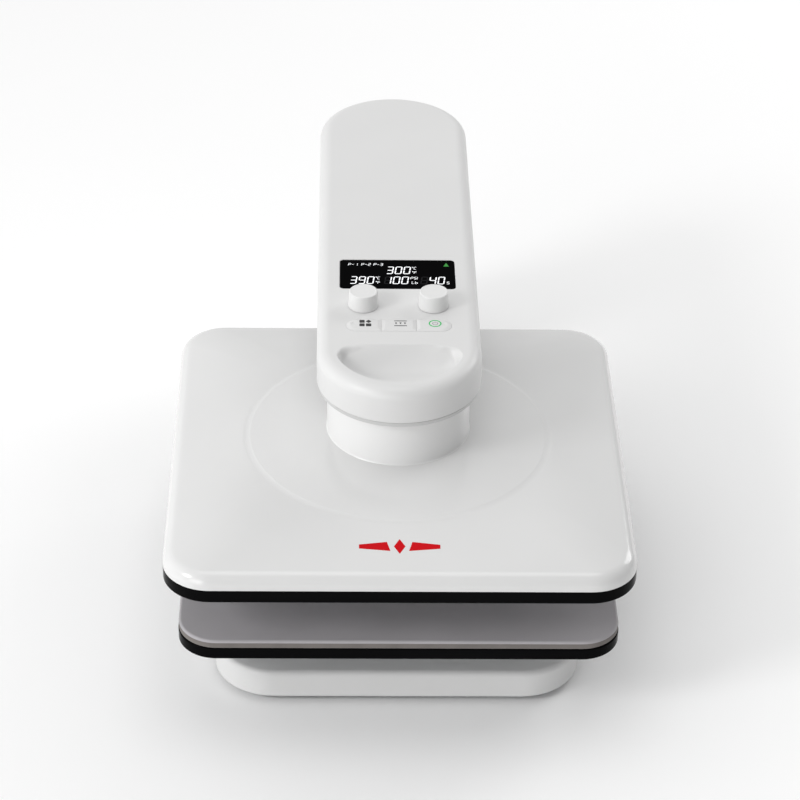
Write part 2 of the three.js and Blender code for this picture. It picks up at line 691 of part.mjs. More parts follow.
const KEY_GAP = 0.5;          // slit between two keys
const KEY_TRAVEL = 0.8;
const KEY_PROUD = 0.9;        // height of the key tops over the casing
const KEY_BOTTOM = BOARD_TOP + 4.8;

function addControls() {
  const boardBottom = BOARD_TOP - 1.6;
  const switches = [-1, 0, 1].map((place) => block(
    [place * KNOB_X - 3, KEY_Y - 3, BOARD_TOP - 0.5],
    [place * KNOB_X + 3, KEY_Y + 3, KEY_BOTTOM - KEY_TRAVEL - 0.2],
  ));
  const board = block([-53, 26, boardBottom], [53, 160, BOARD_TOP]);
  add('control_board', join(board, ...switches), boardGreen);
  const displayCentre = (DISPLAY_BACK + DISPLAY_FRONT) / 2;
  const displayDepth = DISPLAY_BACK - DISPLAY_FRONT;
  const lensOutline = roundedRectangle(DISPLAY_WIDTH - 2 * GAP, displayDepth - 2 * GAP, 3.2, displayCentre);
  const lensBottom = ARM_TOP - 1.8;
  add('display_lens', slab(lensOutline, lensBottom, ARM_TOP - 0.1, 2), glossBlack);
  const moduleOutline = roundedRectangle(DISPLAY_WIDTH - 3, displayDepth - 4, 1, displayCentre);
  add('display_module', slab(moduleOutline, BOARD_TOP + GAP, lensBottom - GAP, 2), darkPlastic);
  addKnob('left', -KNOB_X);
  addKnob('right', KNOB_X);
  ['mode', 'pressure', 'power'].forEach((name, index) => addKey(name, index - 1));
}

function addKnob(side, x) {
  const shaftRadius = 3;
  const shaftTop = ARM_TOP + 11;
  const bodyTop = ARM_TOP - ARM_WALL - GAP;
  const encoder = join(
    block([x - 7, KNOB_Y - 7, BOARD_TOP + GAP], [x + 7, KNOB_Y + 7, bodyTop]),
    rod(shaftRadius, bodyTop - 1, shaftTop, x, KNOB_Y, SCREW_SIDES),
  );
  add(`encoder_${side}`, encoder, steel);
  const bottom = ARM_TOP + 0.6;
  const top = bottom + KNOB_HEIGHT;
  const foot = KNOB_RADIUS + 0.8;
  const bore = shaftRadius + GAP;
  const knob = turned([
    [bore, bottom], [foot - 0.6, bottom], [foot, bottom + 0.8], [KNOB_RADIUS, top - 1.8],
    [KNOB_RADIUS - 0.6, top - 0.5], [KNOB_RADIUS - 1.8, top], [0, top], [0, shaftTop + GAP],
    [bore, shaftTop + GAP],
  ].reverse(), x, KNOB_Y, SMALL_SIDES);
  add(`knob_${side}`, knob, satinWhite);
}

function addKey(name, place) {
  const row = roundedRectangle(KEY_ROW_LENGTH - 2 * GAP, KEY_WIDTH - 2 * GAP, KEY_WIDTH / 2 - GAP - 0.01, KEY_Y);
  const third = KEY_ROW_LENGTH / 3;
  const left = place === -1 ? -KEY_ROW_LENGTH : place * third - third / 2 + KEY_GAP / 2;
  const right = place === 1 ? KEY_ROW_LENGTH : place * third + third / 2 - KEY_GAP / 2;
  const slice = block([left, KEY_Y - 20, KEY_BOTTOM - 1], [right, KEY_Y + 20, ARM_TOP + 1]);
  const key = slab(row, KEY_BOTTOM, ARM_TOP + KEY_PROUD, 4).intersect(slice);
  add(`${name}_key`, key, satinWhite);
}

function addPowerBoard() {
  const bottom = FRAME_TOP + 3;
  const board = block([-45, 305, bottom], [28, 378, bottom + 1.6]);
  const transformer = block([-38, 312, bottom + 1], [-6, 342, bottom + 17]);
  const relay = block([4, 312, bottom + 1], [22, 340, bottom + 14]);
  const capacitors = [-30, -12, 6].map((x) => rod(7, bottom + 1, bottom + 15, x, 362, SMALL_SIDES));
  add('power_board', join(board, transformer, relay, ...capacitors), boardGreen);
}

function addHarness() {
  const path = new THREE.CatmullRomCurve3([
    new THREE.Vector3(40, 372, 256), new THREE.Vector3(43, 330, 254),
    new THREE.Vector3(42, 250, 253), new THREE.Vector3(40, 190, 254),
    new THREE.Vector3(38, 140, 257),
  ]);
  const section = new THREE.Shape().absarc(0, 0, 2.5, 0, Math.PI * 2);
  const geometry = new THREE.ExtrudeGeometry(section, {
    steps: 12, curveSegments: 4, bevelEnabled: false, extrudePath: path,
  });
  add('arm_harness', solid(geometry), cable);
}

// ---- pressing head ----------------------------------------------------------------------------

const INSULATION_TOP = 164;
const HEAD_PLATE_TOP = 168.8;

function addRam() {
  const inner = RAM_RADIUS - RAM_WALL;
  const bottom = HEAD_PLATE_TOP + GAP;
  const flange = 4.5;
  const column = turned([
    [inner, bottom], [80, bottom], [80, bottom + flange], [RAM_RADIUS, bottom + flange],
    [RAM_RADIUS, RAM_TOP], [inner, RAM_TOP],
  ]);
  const nutPlate = tube(NUT_RADIUS + GAP, inner + 2, NUT_PLATE_BOTTOM, NUT_PLATE_TOP);
  const keyway = block(
    [-KEYWAY_HALF, RAM_RADIUS - KEYWAY_DEPTH, bottom + flange + 1],
    [KEYWAY_HALF, RAM_RADIUS + 5, RAM_TOP + 1],
  );
  add('ram_tube', cut(join(column, nutPlate), keyway), steel);
  const nut = turned([
    [SCREW_RADIUS + GAP, NUT_BOTTOM], [NUT_RADIUS, NUT_BOTTOM], [NUT_RADIUS, NUT_PLATE_TOP + GAP],
    [NUT_RADIUS + 8, NUT_PLATE_TOP + GAP], [NUT_RADIUS + 8, NUT_TOP], [SCREW_RADIUS + GAP, NUT_TOP],
  ], 0, 0, SMALL_SIDES);
  add('lead_nut', nut, bronze);
  const ringBottom = bottom + flange + GAP;
  add('dust_ring', tube(RAM_RADIUS + 1, NECK_RADIUS + 4, ringBottom, ringBottom + 3), darkPlastic);
}

// Points round a rounded square, spread along its straight sides as well as its corners.
function squareRing(half, corner, sideSteps = 5, cornerSteps = 5) {
  const points = [];
  for (let quarter = 0; quarter < 4; quarter += 1) {
    const turn = (quarter * Math.PI) / 2;
    const [cos, sin] = [Math.round(Math.cos(turn)), Math.round(Math.sin(turn))];
    const place = (x, y) => points.push(new THREE.Vector2(x * cos - y * sin, x * sin + y * cos));
    const reach = half - corner;
    for (let i = 0; i < sideSteps; i += 1) place(half, -reach + (2 * reach * i) / sideSteps);
    for (let i = 0; i < cornerSteps; i += 1) {
      const angle = ((i / cornerSteps) * Math.PI) / 2;
      place(reach + corner * Math.cos(angle), reach + corner * Math.sin(angle));
    }
  }
  return points;
}

function squareLevel(z, inset) {
  const points = squareRing(HEAD_SIDE / 2 - inset, HEAD_CORNER - inset);
  return points.map((p) => new THREE.Vector3(p.x, p.y, z));
}

function roundLevel(z, radius) {
  return squareRing(HEAD_SIDE / 2, HEAD_CORNER).map((p) => {
    const direction = p.clone().setLength(radius);
    return new THREE.Vector3(direction.x, direction.y, z);
  });
}

function addHousing() {
  const bottom = BAND_TOP + GAP;
  const mouth = NECK_RADIUS + 0.7;
  const outer = loft([
    squareLevel(bottom, 0),
    ...roundedTop(HOUSING_EDGE, HOUSING_ROLL, 0, 3).map(([z, inset]) => squareLevel(z, inset)),
    roundLevel(DISC_FOOT, DISC_RADIUS),
    roundLevel(DISC_FOOT + DISC_STEP, DISC_RADIUS - 3),
    roundLevel(HOUSING_TOP, mouth - 1),
  ]);
  const innerRoll = HOUSING_ROLL - HOUSING_WALL;
  const inner = loft([
    squareLevel(bottom - 1, HOUSING_WALL),
    ...roundedTop(HOUSING_EDGE - HOUSING_WALL, innerRoll, HOUSING_WALL, 2).map(([z, i]) => squareLevel(z, i)),
    roundLevel(DISC_FOOT - HOUSING_WALL, DISC_RADIUS - 1),
    roundLevel(HOUSING_TOP - HOUSING_WALL, mouth - 1),
  ]);
  const opening = turned([[0, bottom], [mouth, bottom], [mouth, HOUSING_TOP + 1], [0, HOUSING_TOP + 1]]);
  add('head_housing', cut(outer, inner, opening), glossWhite);
}

function addHeatingStack() {
  const square = (side, corner) => roundedRectangle(side, side, corner);
  const heaterCorner = 26;
  const web = 3;
  const wall = 4;
  const band = cut(
    slab(square(HEAD_SIDE, HEAD_CORNER), BAND_BOTTOM, BAND_TOP),
    slab(square(HEAD_SIDE - 2 * wall, HEAD_CORNER - wall), BAND_BOTTOM + web, BAND_TOP + 1),
    slab(square(HEATER_SIDE + 1, heaterCorner + 0.5), BAND_BOTTOM - 1, BAND_TOP + 1),
  );
  add('head_rim', band, glossBlack);
  const heaterTop = HEATER_BOTTOM + 12;
  add('heating_platen', slab(square(HEATER_SIDE, heaterCorner), HEATER_BOTTOM, heaterTop), castAluminium);
  const matTop = heaterTop + GAP + 1.2;
  add('heating_mat', slab(square(HEATER_SIDE - 20, 20), heaterTop + GAP, matTop, 5), mica);
  const cutoutPlace = [100, -100];
  const board = cut(
    slab(square(HEATER_SIDE - 12, 22), matTop + GAP, INSULATION_TOP, 5),
    rod(10, matTop, INSULATION_TOP + 1, ...cutoutPlace, SMALL_SIDES),
  );
  add('insulation_board', board, insulation);
  add('thermostat', rod(8, matTop + GAP, INSULATION_TOP - 1, ...cutoutPlace, SMALL_SIDES), steel);
  add('head_plate', slab(square(280, 20), INSULATION_TOP + GAP, HEAD_PLATE_TOP, 5), steel);
}

// ---- assembly ---------------------------------------------------------------------------------

addBase();
addPedestal();
addLowerPlaten();
addColumn();
addPivotPost();
addSwingStop();
addPowerSocket();
addPowerSwitch();
addArmShells();
addArmFrame();
addPivotHub();
addNeck();
addLiftDrive();
addControls();
addPowerBoard();
addHarness();
addRam();
addHousing();
addHeatingStack();

model.position.y = -CENTRE_Y;

export default model;
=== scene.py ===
"""The looks of a swing-away heat press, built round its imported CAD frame.

Shapes are drawn in millimetres from the centre of the platens, with z above the floor, and are
put into the frame's metres as each mesh is made.
"""

import json
import math

import bmesh
import bpy
from mathutils import Matrix, Vector
from mathutils.bvhtree import BVHTree
from mathutils.geometry import tessellate_polygon


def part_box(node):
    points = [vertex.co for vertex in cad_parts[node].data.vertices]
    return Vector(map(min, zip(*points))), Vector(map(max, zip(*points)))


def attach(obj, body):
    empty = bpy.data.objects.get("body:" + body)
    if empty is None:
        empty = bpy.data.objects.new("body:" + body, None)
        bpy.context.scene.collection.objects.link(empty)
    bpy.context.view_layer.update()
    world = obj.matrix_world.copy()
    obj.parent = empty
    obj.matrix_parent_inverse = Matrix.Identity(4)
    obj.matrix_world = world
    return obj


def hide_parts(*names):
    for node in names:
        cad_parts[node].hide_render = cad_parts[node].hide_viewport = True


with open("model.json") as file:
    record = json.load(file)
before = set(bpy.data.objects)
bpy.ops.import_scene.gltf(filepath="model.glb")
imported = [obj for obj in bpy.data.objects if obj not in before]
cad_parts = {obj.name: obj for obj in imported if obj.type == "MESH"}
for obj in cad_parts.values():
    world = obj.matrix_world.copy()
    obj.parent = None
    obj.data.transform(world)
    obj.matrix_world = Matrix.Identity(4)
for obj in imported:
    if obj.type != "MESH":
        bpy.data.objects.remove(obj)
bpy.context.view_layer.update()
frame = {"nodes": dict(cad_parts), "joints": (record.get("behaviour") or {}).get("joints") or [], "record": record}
MM = 0.001

BODY_OF = {node: body for body, nodes in frame["record"]["behaviour"]["bodies"].items() for node in nodes}
JOINTS = {joint["name"]: joint for joint in frame["joints"]}
PLATEN_Y = sum(corner.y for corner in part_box("lower_rim")) / 2


# ---- sizes read from the frame, in millimetres ------------------------------------------------

def span(node):
    """Lowest and highest corner of a CAD node, in millimetres from the platen centre."""
    shift = Vector((0, PLATEN_Y, 0))
    return [(corner - shift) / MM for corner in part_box(node)]


def joint_place(name):
    x, y, z = JOINTS[name]["pos_m"]
    return Vector((x, y - PLATEN_Y, z)) / MM


COLUMN_Y = joint_place("arm_swing").y
BASE_LOW, BASE_HIGH = span("base_shell")
RIM_LOW, RIM_HIGH = span("lower_rim")
PAD_LOW, PAD_HIGH = span("silicone_pad")
BAND_LOW, BAND_HIGH = span("head_rim")
HOUSING_LOW, HOUSING_HIGH = span("head_housing")
HEATER_LOW, HEATER_HIGH = span("heating_platen")
ARM_LOW, ARM_HIGH = span("arm_upper_shell")
COVER_LOW, COVER_HIGH = span("arm_lower_cover")
NECK_LOW, NECK_HIGH = span("neck_sleeve")
LENS_LOW, LENS_HIGH = span("display_lens")
COLUMN_LOW, COLUMN_HIGH = span("column_cover")

ARM_TOP = ARM_HIGH.z
ARM_RADIUS = ARM_HIGH.x
NECK_RADIUS = NECK_HIGH.x
BASE_BLEND = 30               # radius of the hollow curve beside the base's rear lobe
BASE_CORNER = 54
LOWER_CORNER = 34
HEAD_CORNER = 42
ARM_FILLET = 11
GRIP_RADIUS = 58.5            # finger grip: a half round, cut off by a straight crease
GRIP_CREASE = 3.4
GRIP_CORNER = 17
GRIP_WALL = 6.5               # width of the steep wall round the grip's front
GRIP_WALL_SHARE = 0.6         # share of the depth that the wall takes; a wider bowl takes the rest
GRIP_BOWL = 36
GRIP_BACK_SLOPE = 30
GRIP_DEPTH = ARM_TOP - span("arm_upper_shell")[0].z - 16
DISC_RADIUS = 134


# ---- outlines: functions of an inset that always give the same number of points ----------------

def arc(x, y, radius, start, end, steps):
    """Points along an arc whose angles are in degrees, both ends included."""
    angles = [math.radians(start + (end - start) * i / steps) for i in range(steps + 1)]
    return [(x + radius * math.cos(a), y + radius * math.sin(a)) for a in angles]


def block_outline(left, right, front, back, corners, steps=8):
    """A rectangle with rounded corners; corners is one radius, or (left radius, right radius)."""
    left_radius, right_radius = corners if isinstance(corners, tuple) else (corners, corners)

    def outline(inset):
        points = []
        places = ((right, front, right_radius, 1, -1), (right, back, right_radius, 1, 1),
                  (left, back, left_radius, -1, 1), (left, front, left_radius, -1, -1))
        for turn, (x, y, corner, side, end) in enumerate(places):
            radius = max(corner - inset, 0.02)
            x -= side * (inset + radius)
            y -= end * (inset + radius)
            points += arc(x, y, radius, 90 * turn - 90, 90 * turn, steps)
        return points
    return outline


def square(side, corner, steps=14):
    return block_outline(-side / 2, side / 2, -side / 2, side / 2, corner, steps)


def circle(radius, x=0, y=0, steps=96):
    return lambda inset: arc(x, y, radius - inset, 0, 360 * (1 - 1 / steps), steps - 1)


def stadium(radius, front, rear, steps=48):
    def outline(inset):
        front_end = arc(0, front, radius - inset, 180, 360, steps)
        return front_end + arc(0, rear, radius - inset, 0, 180, steps)
    return outline


def grip_corner_centre(radius, crease):
    """Centre of the right-hand corner arc, which touches the grip's front arc and its crease."""
    y = crease - GRIP_CORNER
    return Vector((math.sqrt((radius - GRIP_CORNER) ** 2 - y * y), y))


def half_round(radius, crease, steps=48):
    """The grip's outline: an arc round the front, two corner arcs and a straight crease."""
    corner = grip_corner_centre(radius, crease)
    lean = math.degrees(math.atan2(corner.y, corner.x))
    points = arc(0, 0, radius, 180 - lean, 360 + lean, steps)
    points += arc(corner.x, corner.y, GRIP_CORNER, lean, 90, 14)[1:]
    points += [(corner.x - 2 * corner.x * i / 20, crease) for i in range(1, 20)]
    return points + arc(-corner.x, corner.y, GRIP_CORNER, 90, 180 - lean, 14)[:-1]


def base_outline(inset):
    """A rounded deck whose rear edge flows into a round lobe under the column."""
    half = BASE_HIGH.x
    x = half - BASE_CORNER
    front = BASE_LOW.y + BASE_CORNER
    deck_back = COLUMN_Y - BASE_BLEND
    back = deck_back - BASE_CORNER
    blend_x = ARM_RADIUS + BASE_BLEND
    corner = BASE_CORNER - inset
    points = arc(x, front, corner, -90, 0, 14) + arc(x, back, corner, 0, 90, 14)
    points += arc(blend_x, COLUMN_Y, BASE_BLEND + inset, -90, -180, 14)
    points += arc(0, COLUMN_Y, ARM_RADIUS - inset, 0, 180, 48)[1:-1]
    points += arc(-blend_x, COLUMN_Y, BASE_BLEND + inset, 0, -90, 14)
    return points + arc(-x, back, corner, 90, 180, 14) + arc(-x, front, corner, 180, 270, 14)


# ---- sections: lists of (inset, z) ------------------------------------------------------------

def rounded(corners, closed=False, steps=5):
    """Turns (inset, z, radius) corners into (inset, z) points, with an arc at each corner."""
    points = []
    for i, (inset, z, radius) in enumerate(corners):
        here = Vector((inset, z))
        if radius == 0 or (not closed and i in (0, len(corners) - 1)):
            points.append((inset, z))
            continue
        before = (Vector(corners[i - 1][:2]) - here).normalized()
        after = (Vector(corners[(i + 1) % len(corners)][:2]) - here).normalized()
        half = before.angle(after) / 2
        centre = here + (before + after).normalized() * (radius / math.sin(half))
        reach = radius / math.tan(half)
        start = (here + before * reach - centre).normalized()
        end = (here + after * reach - centre).normalized()
        points += [tuple(centre + start.slerp(end, s / steps) * radius) for s in range(steps + 1)]
    return points


# ---- mesh building ----------------------------------------------------------------------------

class Body:
    """Rings of points and the faces between them, in the script's millimetres."""

    def __init__(self, place=None):
        self.points = []
        self.faces = []
        self.place = place or (lambda x, y, z: Vector((x, y, z)))

    def ring(self, outline, z):
        """Adds a ring: outline is a list of (x, y) points, or of points that have their own z."""
        start = len(self.points)
        self.points += [self.place(p[0], p[1], p[2] if len(p) > 2 else z) for p in outline]
        return list(range(start, len(self.points)))

    def band(self, lower, upper):
        for i in range(len(lower)):
            j = (i + 1) % len(lower)
            self.faces.append((lower[i], lower[j], upper[j], upper[i]))

    def cap(self, outer, *holes):
        loops = [outer, *holes]
        order = [index for loop in loops for index in loop]
        flat = [[self.points[index] for index in loop] for loop in loops]
        for triangle in tessellate_polygon(flat):
            self.faces.append(tuple(order[corner] for corner in triangle))

    def loft(self, outline, section, closed=False):
        """Stacks an outline along a section and returns its rings."""
        rings = [self.ring(outline(inset), z) for inset, z in section]
        self.join(rings, closed)
        return rings

    def join(self, rings, closed=False):
        for lower, upper in zip(rings, rings[1:]):
            self.band(lower, upper)
        if closed:
            self.band(rings[-1], rings[0])

    def solid(self, outline, corners, steps=5):
        """A closed solid whose section starts and ends in flat faces."""
        rings = self.loft(outline, rounded(corners, steps=steps))
        self.cap(rings[0])
        self.cap(rings[-1])
        return self

    def tube(self, outline, corners, steps=5):
        """A closed ring-shaped solid whose section closes on itself."""
        self.loft(outline, rounded(corners, True, steps), closed=True)
        return self

    def mesh(self, name):
        mesh = bpy.data.meshes.new(name)
        shift = Vector((0, PLATEN_Y, 0))
        mesh.from_pydata([p * MM + shift for p in self.points], [], self.faces)
        work = bmesh.new()
        work.from_mesh(mesh)
        bmesh.ops.remove_doubles(work, verts=work.verts, dist=1e-7)
        bmesh.ops.dissolve_degenerate(work, edges=work.edges, dist=1e-8)
        bmesh.ops.recalc_face_normals(work, faces=work.faces)
        work.to_mesh(mesh)
        work.free()
        return mesh


def piece(name, body_or_mesh, node, material, sharp=35, replaces=True):
    """Makes the object, gives it clean shading and ties it to the CAD node that it stands for."""
    mesh = body_or_mesh.mesh(name) if isinstance(body_or_mesh, Body) else body_or_mesh
    obj = bpy.data.objects.new(name, mesh)
    bpy.context.scene.collection.objects.link(obj)
    mesh.materials.clear()
    mesh.materials.append(FINISHES[material])
    mesh.shade_smooth()
    mesh.set_sharp_from_angle(angle=math.radians(sharp))
    weighting = obj.modifiers.new("even shading", "WEIGHTED_NORMAL")
    weighting.keep_sharp = True
    weighting.weight = 90
    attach(obj, BODY_OF[node])
    if replaces:
        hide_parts(node)
    return obj


def boolean(base, tool, operation):
    """Combines two meshes and returns the result, leaving nothing else behind."""
    objects = [bpy.data.objects.new("work", mesh) for mesh in (base, tool)]
    for obj in objects:
        bpy.context.scene.collection.objects.link(obj)
    cutter = objects[0].modifiers.new("combine", "BOOLEAN")
    cutter.object = objects[1]
    cutter.operation = operation
    cutter.solver = "EXACT"
    graph = bpy.context.evaluated_depsgraph_get()
    result = bpy.data.meshes.new_from_object(objects[0].evaluated_get(graph))
    for obj in objects:
        bpy.data.objects.remove(obj)
    return result


# ---- materials --------------------------------------------------------------------------------

def procedural(name, color, roughness, metallic=0.0, tint=0.03, tint_scale=9, spread=0.04,
               grain=0.05, grain_scale=1400, stretch=(1, 1, 1), coat=0.0, specular=0.5, fleck=None):
    """A finish with drifting colour and roughness and a fine surface grain, all in object space."""
    material = bpy.data.materials.new(name)
    material.use_nodes = True
    tree = material.node_tree
    nodes, links = tree.nodes, tree.links
    shader = nodes["Principled BSDF"]
    shader.inputs["Metallic"].default_value = metallic
    shader.inputs["Specular IOR Level"].default_value = specular
    shader.inputs["Coat Weight"].default_value = coat
    shader.inputs["Coat Roughness"].default_value = 0.06
    place = nodes.new("ShaderNodeTexCoord")
    mapping = nodes.new("ShaderNodeMapping")
    mapping.inputs["Scale"].default_value = stretch
    links.new(place.outputs["Object"], mapping.inputs["Vector"])

    def noise(scale, detail):
        node = nodes.new("ShaderNodeTexNoise")
        node.inputs["Scale"].default_value = scale
        node.inputs["Detail"].default_value = detail
        links.new(mapping.outputs["Vector"], node.inputs["Vector"])
        return node.outputs["Fac"]

    def ramp(source, low, high, start=0.3, end=0.7):
        node = nodes.new("ShaderNodeValToRGB")
        node.color_ramp.elements[0].position = start
        node.color_ramp.elements[1].position = end
        node.color_ramp.elements[0].color = (*low, 1)
        node.color_ramp.elements[1].color = (*high, 1)
        links.new(source, node.inputs["Fac"])
        return node.outputs["Color"]

    drift = noise(tint_scale, 3)
    paler = [min(1.0, c * (1 + tint)) for c in color]
    darker = [c * (1 - tint) for c in color]
    base = ramp(drift, darker, paler)
    if fleck:
        specks = ramp(noise(fleck["scale"], 2), (0, 0, 0), (1, 1, 1), 0.58, 0.66)
        mix = nodes.new("ShaderNodeMix")
        mix.data_type = "RGBA"
        mix.inputs["B"].default_value = (*fleck["color"], 1)
        links.new(specks, mix.inputs["Factor"])
        links.new(base, mix.inputs["A"])
        base = mix.outputs["Result"]
    links.new(base, shader.inputs["Base Color"])

    wear = nodes.new("ShaderNodeMapRange")
    wear.inputs["To Min"].default_value = max(0.02, roughness - spread)
    wear.inputs["To Max"].default_value = min(1.0, roughness + spread)
    links.new(noise(tint_scale * 6, 4), wear.inputs["Value"])
    links.new(wear.outputs["Result"], shader.inputs["Roughness"])

    bump = nodes.new("ShaderNodeBump")
    bump.inputs["Strength"].default_value = grain
    bump.inputs["Distance"].default_value = 0.0002
    links.new(noise(grain_scale, 3), bump.inputs["Height"])
    links.new(bump.outputs["Normal"], shader.inputs["Normal"])
    return material


def glowing(name, color, strength):
    """A lit display segment: its glow drifts a little from one place to the next."""
    material = procedural(name, color, 0.4, tint=0.05, tint_scale=60, grain=0.02)
    shader = material.node_tree.nodes["Principled BSDF"]
    shader.inputs["Emission Color"].default_value = (*color, 1)
    shader.inputs["Emission Strength"].default_value = strength
    return material


def make_finishes():
    slots = {m["slot"]: m["base_color"] for m in frame["record"]["materials"]}
    settings = {
        "gloss_white": dict(roughness=0.16, tint=0.012, spread=0.03, grain=0.012, grain_scale=260, coat=0.2),
        "satin_white": dict(roughness=0.38, tint=0.012, spread=0.05, grain=0.05, grain_scale=1500),
        "gloss_black": dict(roughness=0.16, tint=0.15, spread=0.05, grain=0.02, grain_scale=420,
                            specular=0.02),
        "display_glass": dict(roughness=0.08, tint=0.1, spread=0.03, grain=0.004, grain_scale=300,
                              specular=0.003),
        "dark_plastic": dict(roughness=0.5, tint=0.12, grain=0.22, grain_scale=2100),
        "silicone": dict(roughness=0.62, tint=0.05, tint_scale=14, grain=0.3, grain_scale=1700),
        "rubber": dict(roughness=0.8, tint=0.2, tint_scale=30, grain=0.35, grain_scale=1100),
        "aluminium": dict(roughness=0.4, metallic=1, tint=0.05, spread=0.09, grain=0.3, grain_scale=1600),
        "steel": dict(roughness=0.34, metallic=1, tint=0.06, spread=0.1, grain=0.18, grain_scale=700,
                      stretch=(1, 1, 9)),
        "bronze": dict(roughness=0.38, metallic=1, tint=0.08, spread=0.1, grain=0.2, grain_scale=1900),
        "board": dict(roughness=0.42, tint=0.12, tint_scale=60, grain=0.1, grain_scale=600,
                      fleck=dict(scale=420, color=(0.55, 0.45, 0.2))),
        "insulation": dict(roughness=0.95, tint=0.06, tint_scale=40, grain=0.8, grain_scale=500,
                           stretch=(1, 1, 5)),
        "mica": dict(roughness=0.5, tint=0.14, tint_scale=50, grain=0.15, grain_scale=300,
                     fleck=dict(scale=260, color=(0.75, 0.66, 0.5))),
        "cable": dict(roughness=0.6, tint=0.15, grain=0.6, grain_scale=900, stretch=(1, 0.3, 1)),
    }
    made = {slot: procedural(slot, slots[slot], **settings[slot]) for slot in settings}
    # Paler copies of the satin white for the neck and the dials: painted light, the same white plastic made paler
    # to stand in for the light they catch
    for name, level in (("painted_light_white", 0.79), ("dial_white", 0.74)):
        made[name] = procedural(name, (level, level, level * 0.995), 0.3, tint=0.004, spread=0.012,
                                grain=0.03)
    # A darker copy of the white plastic for the arm's bottom cover: painted shade, for the shade under the arm's
    # lower edge
    made["painted_shade_white"] = procedural("painted_shade_white", (0.57, 0.57, 0.568), 0.45, tint=0.012, grain=0.05)
    # A dark brownish band for the lower side of the pad: painted reflection of a warm tone
    made["sponge"] = procedural("sponge", (0.17, 0.155, 0.145), 0.8, tint=0.08, tint_scale=60, grain=0.6)
    made["print_red"] = procedural("print_red", (0.56, 0.004, 0.009), 0.4, tint=0.06, grain=0.05,
                                   specular=0.06)
    made["print_dark"] = procedural("print_dark", (0.02, 0.02, 0.021), 0.5, tint=0.1, grain=0.05)
    made["print_green"] = procedural("print_green", (0.03, 0.5, 0.12), 0.4, tint=0.06, grain=0.05)
    made["print_grey"] = procedural("print_grey", (0.33, 0.33, 0.34), 0.4, tint=0.06, grain=0.05)
    made["digit_white"] = glowing("digit_white", (0.95, 0.97, 1.0), 0.35)
    made["digit_off"] = procedural("digit_off", (0.011, 0.011, 0.012), 0.3, tint=0.1, grain=0.02,
                                   specular=0.02)
    made["lamp_green"] = glowing("lamp_green", (0.003, 0.22, 0.008), 0.25)
    return made


def finish_carried_nodes():
    """Gives every CAD node the procedural finish of its own slot."""
    for obj in frame["nodes"].values():
        slot = obj.data.materials[0].name.split(".")[0]
        obj.data.materials.clear()
        obj.data.materials.append(FINISHES[slot])


# ---- base and lower platen --------------------------------------------------------------------

def add_base():
    wall, fillet, top = 3, 5, BASE_HIGH.z
    body = Body()
    outside = body.loft(base_outline, rounded([
        (0.8, BASE_LOW.z, 0), (0, BASE_LOW.z + 0.8, 0.6), (0, top, fillet), (fillet + 4, top, 0)], steps=8))
    inside = body.loft(base_outline, rounded([
        (wall, BASE_LOW.z, 0), (wall, top - wall, 2), (wall + 6, top - wall, 0)]))
    body.band(outside[0], inside[0])
    openings = [square(201, 24), circle(56, 0, COLUMN_Y)]
    upper = [body.ring(outline(0), top) for outline in openings]
    lower = [body.ring(outline(0), top - wall) for outline in openings]
    body.cap(outside[-1], *upper)
    body.cap(inside[-1], *lower)
    for above, below in zip(upper, lower):
        body.band(above, below)
    piece("base_casing", body, "base_shell", "satin_white")

    low, high = span("base_plate")
    inset = wall + 0.5
    plate = Body().solid(lambda i: base_outline(inset + i), [
        (4, low.z, 0), (0, low.z, 0.6), (0, high.z, 0.6), (4, high.z, 0)])
    piece("base_bottom_plate", plate, "base_plate", "steel")


def add_feet():
    for place in ("front_left", "front_right", "rear_left", "rear_right", "column"):
        node = "foot_" + place
        low, high = span(node)
        centre = (low + high) / 2
        radius = high.x - centre.x
        foot = Body().solid(circle(radius, centre.x, centre.y, 48), [
            (radius - 5, 0.7, 0), (radius - 6, 0, 0.5), (2, 0, 1), (0, 3, 1.5), (0, high.z, 0.5),
            (2, high.z, 0)])
        piece("rubber_" + node, foot, node, "rubber")


def add_pedestal():
    low, high = span("platen_pedestal")
    side, skirt, wall, corner = 200, 220, 6, 24
    body = Body().tube(square(skirt, corner + 10), [
        (0, low.z, 0.6), (0, low.z + 8, 1.5), ((skirt - side) / 2, low.z + 8, 4),
        ((skirt - side) / 2, high.z, 0.6), ((skirt - side) / 2 + wall, high.z, 0.6),
        ((skirt - side) / 2 + wall, low.z, 0.6)])
    piece("pedestal_casting", body, "platen_pedestal", "aluminium")


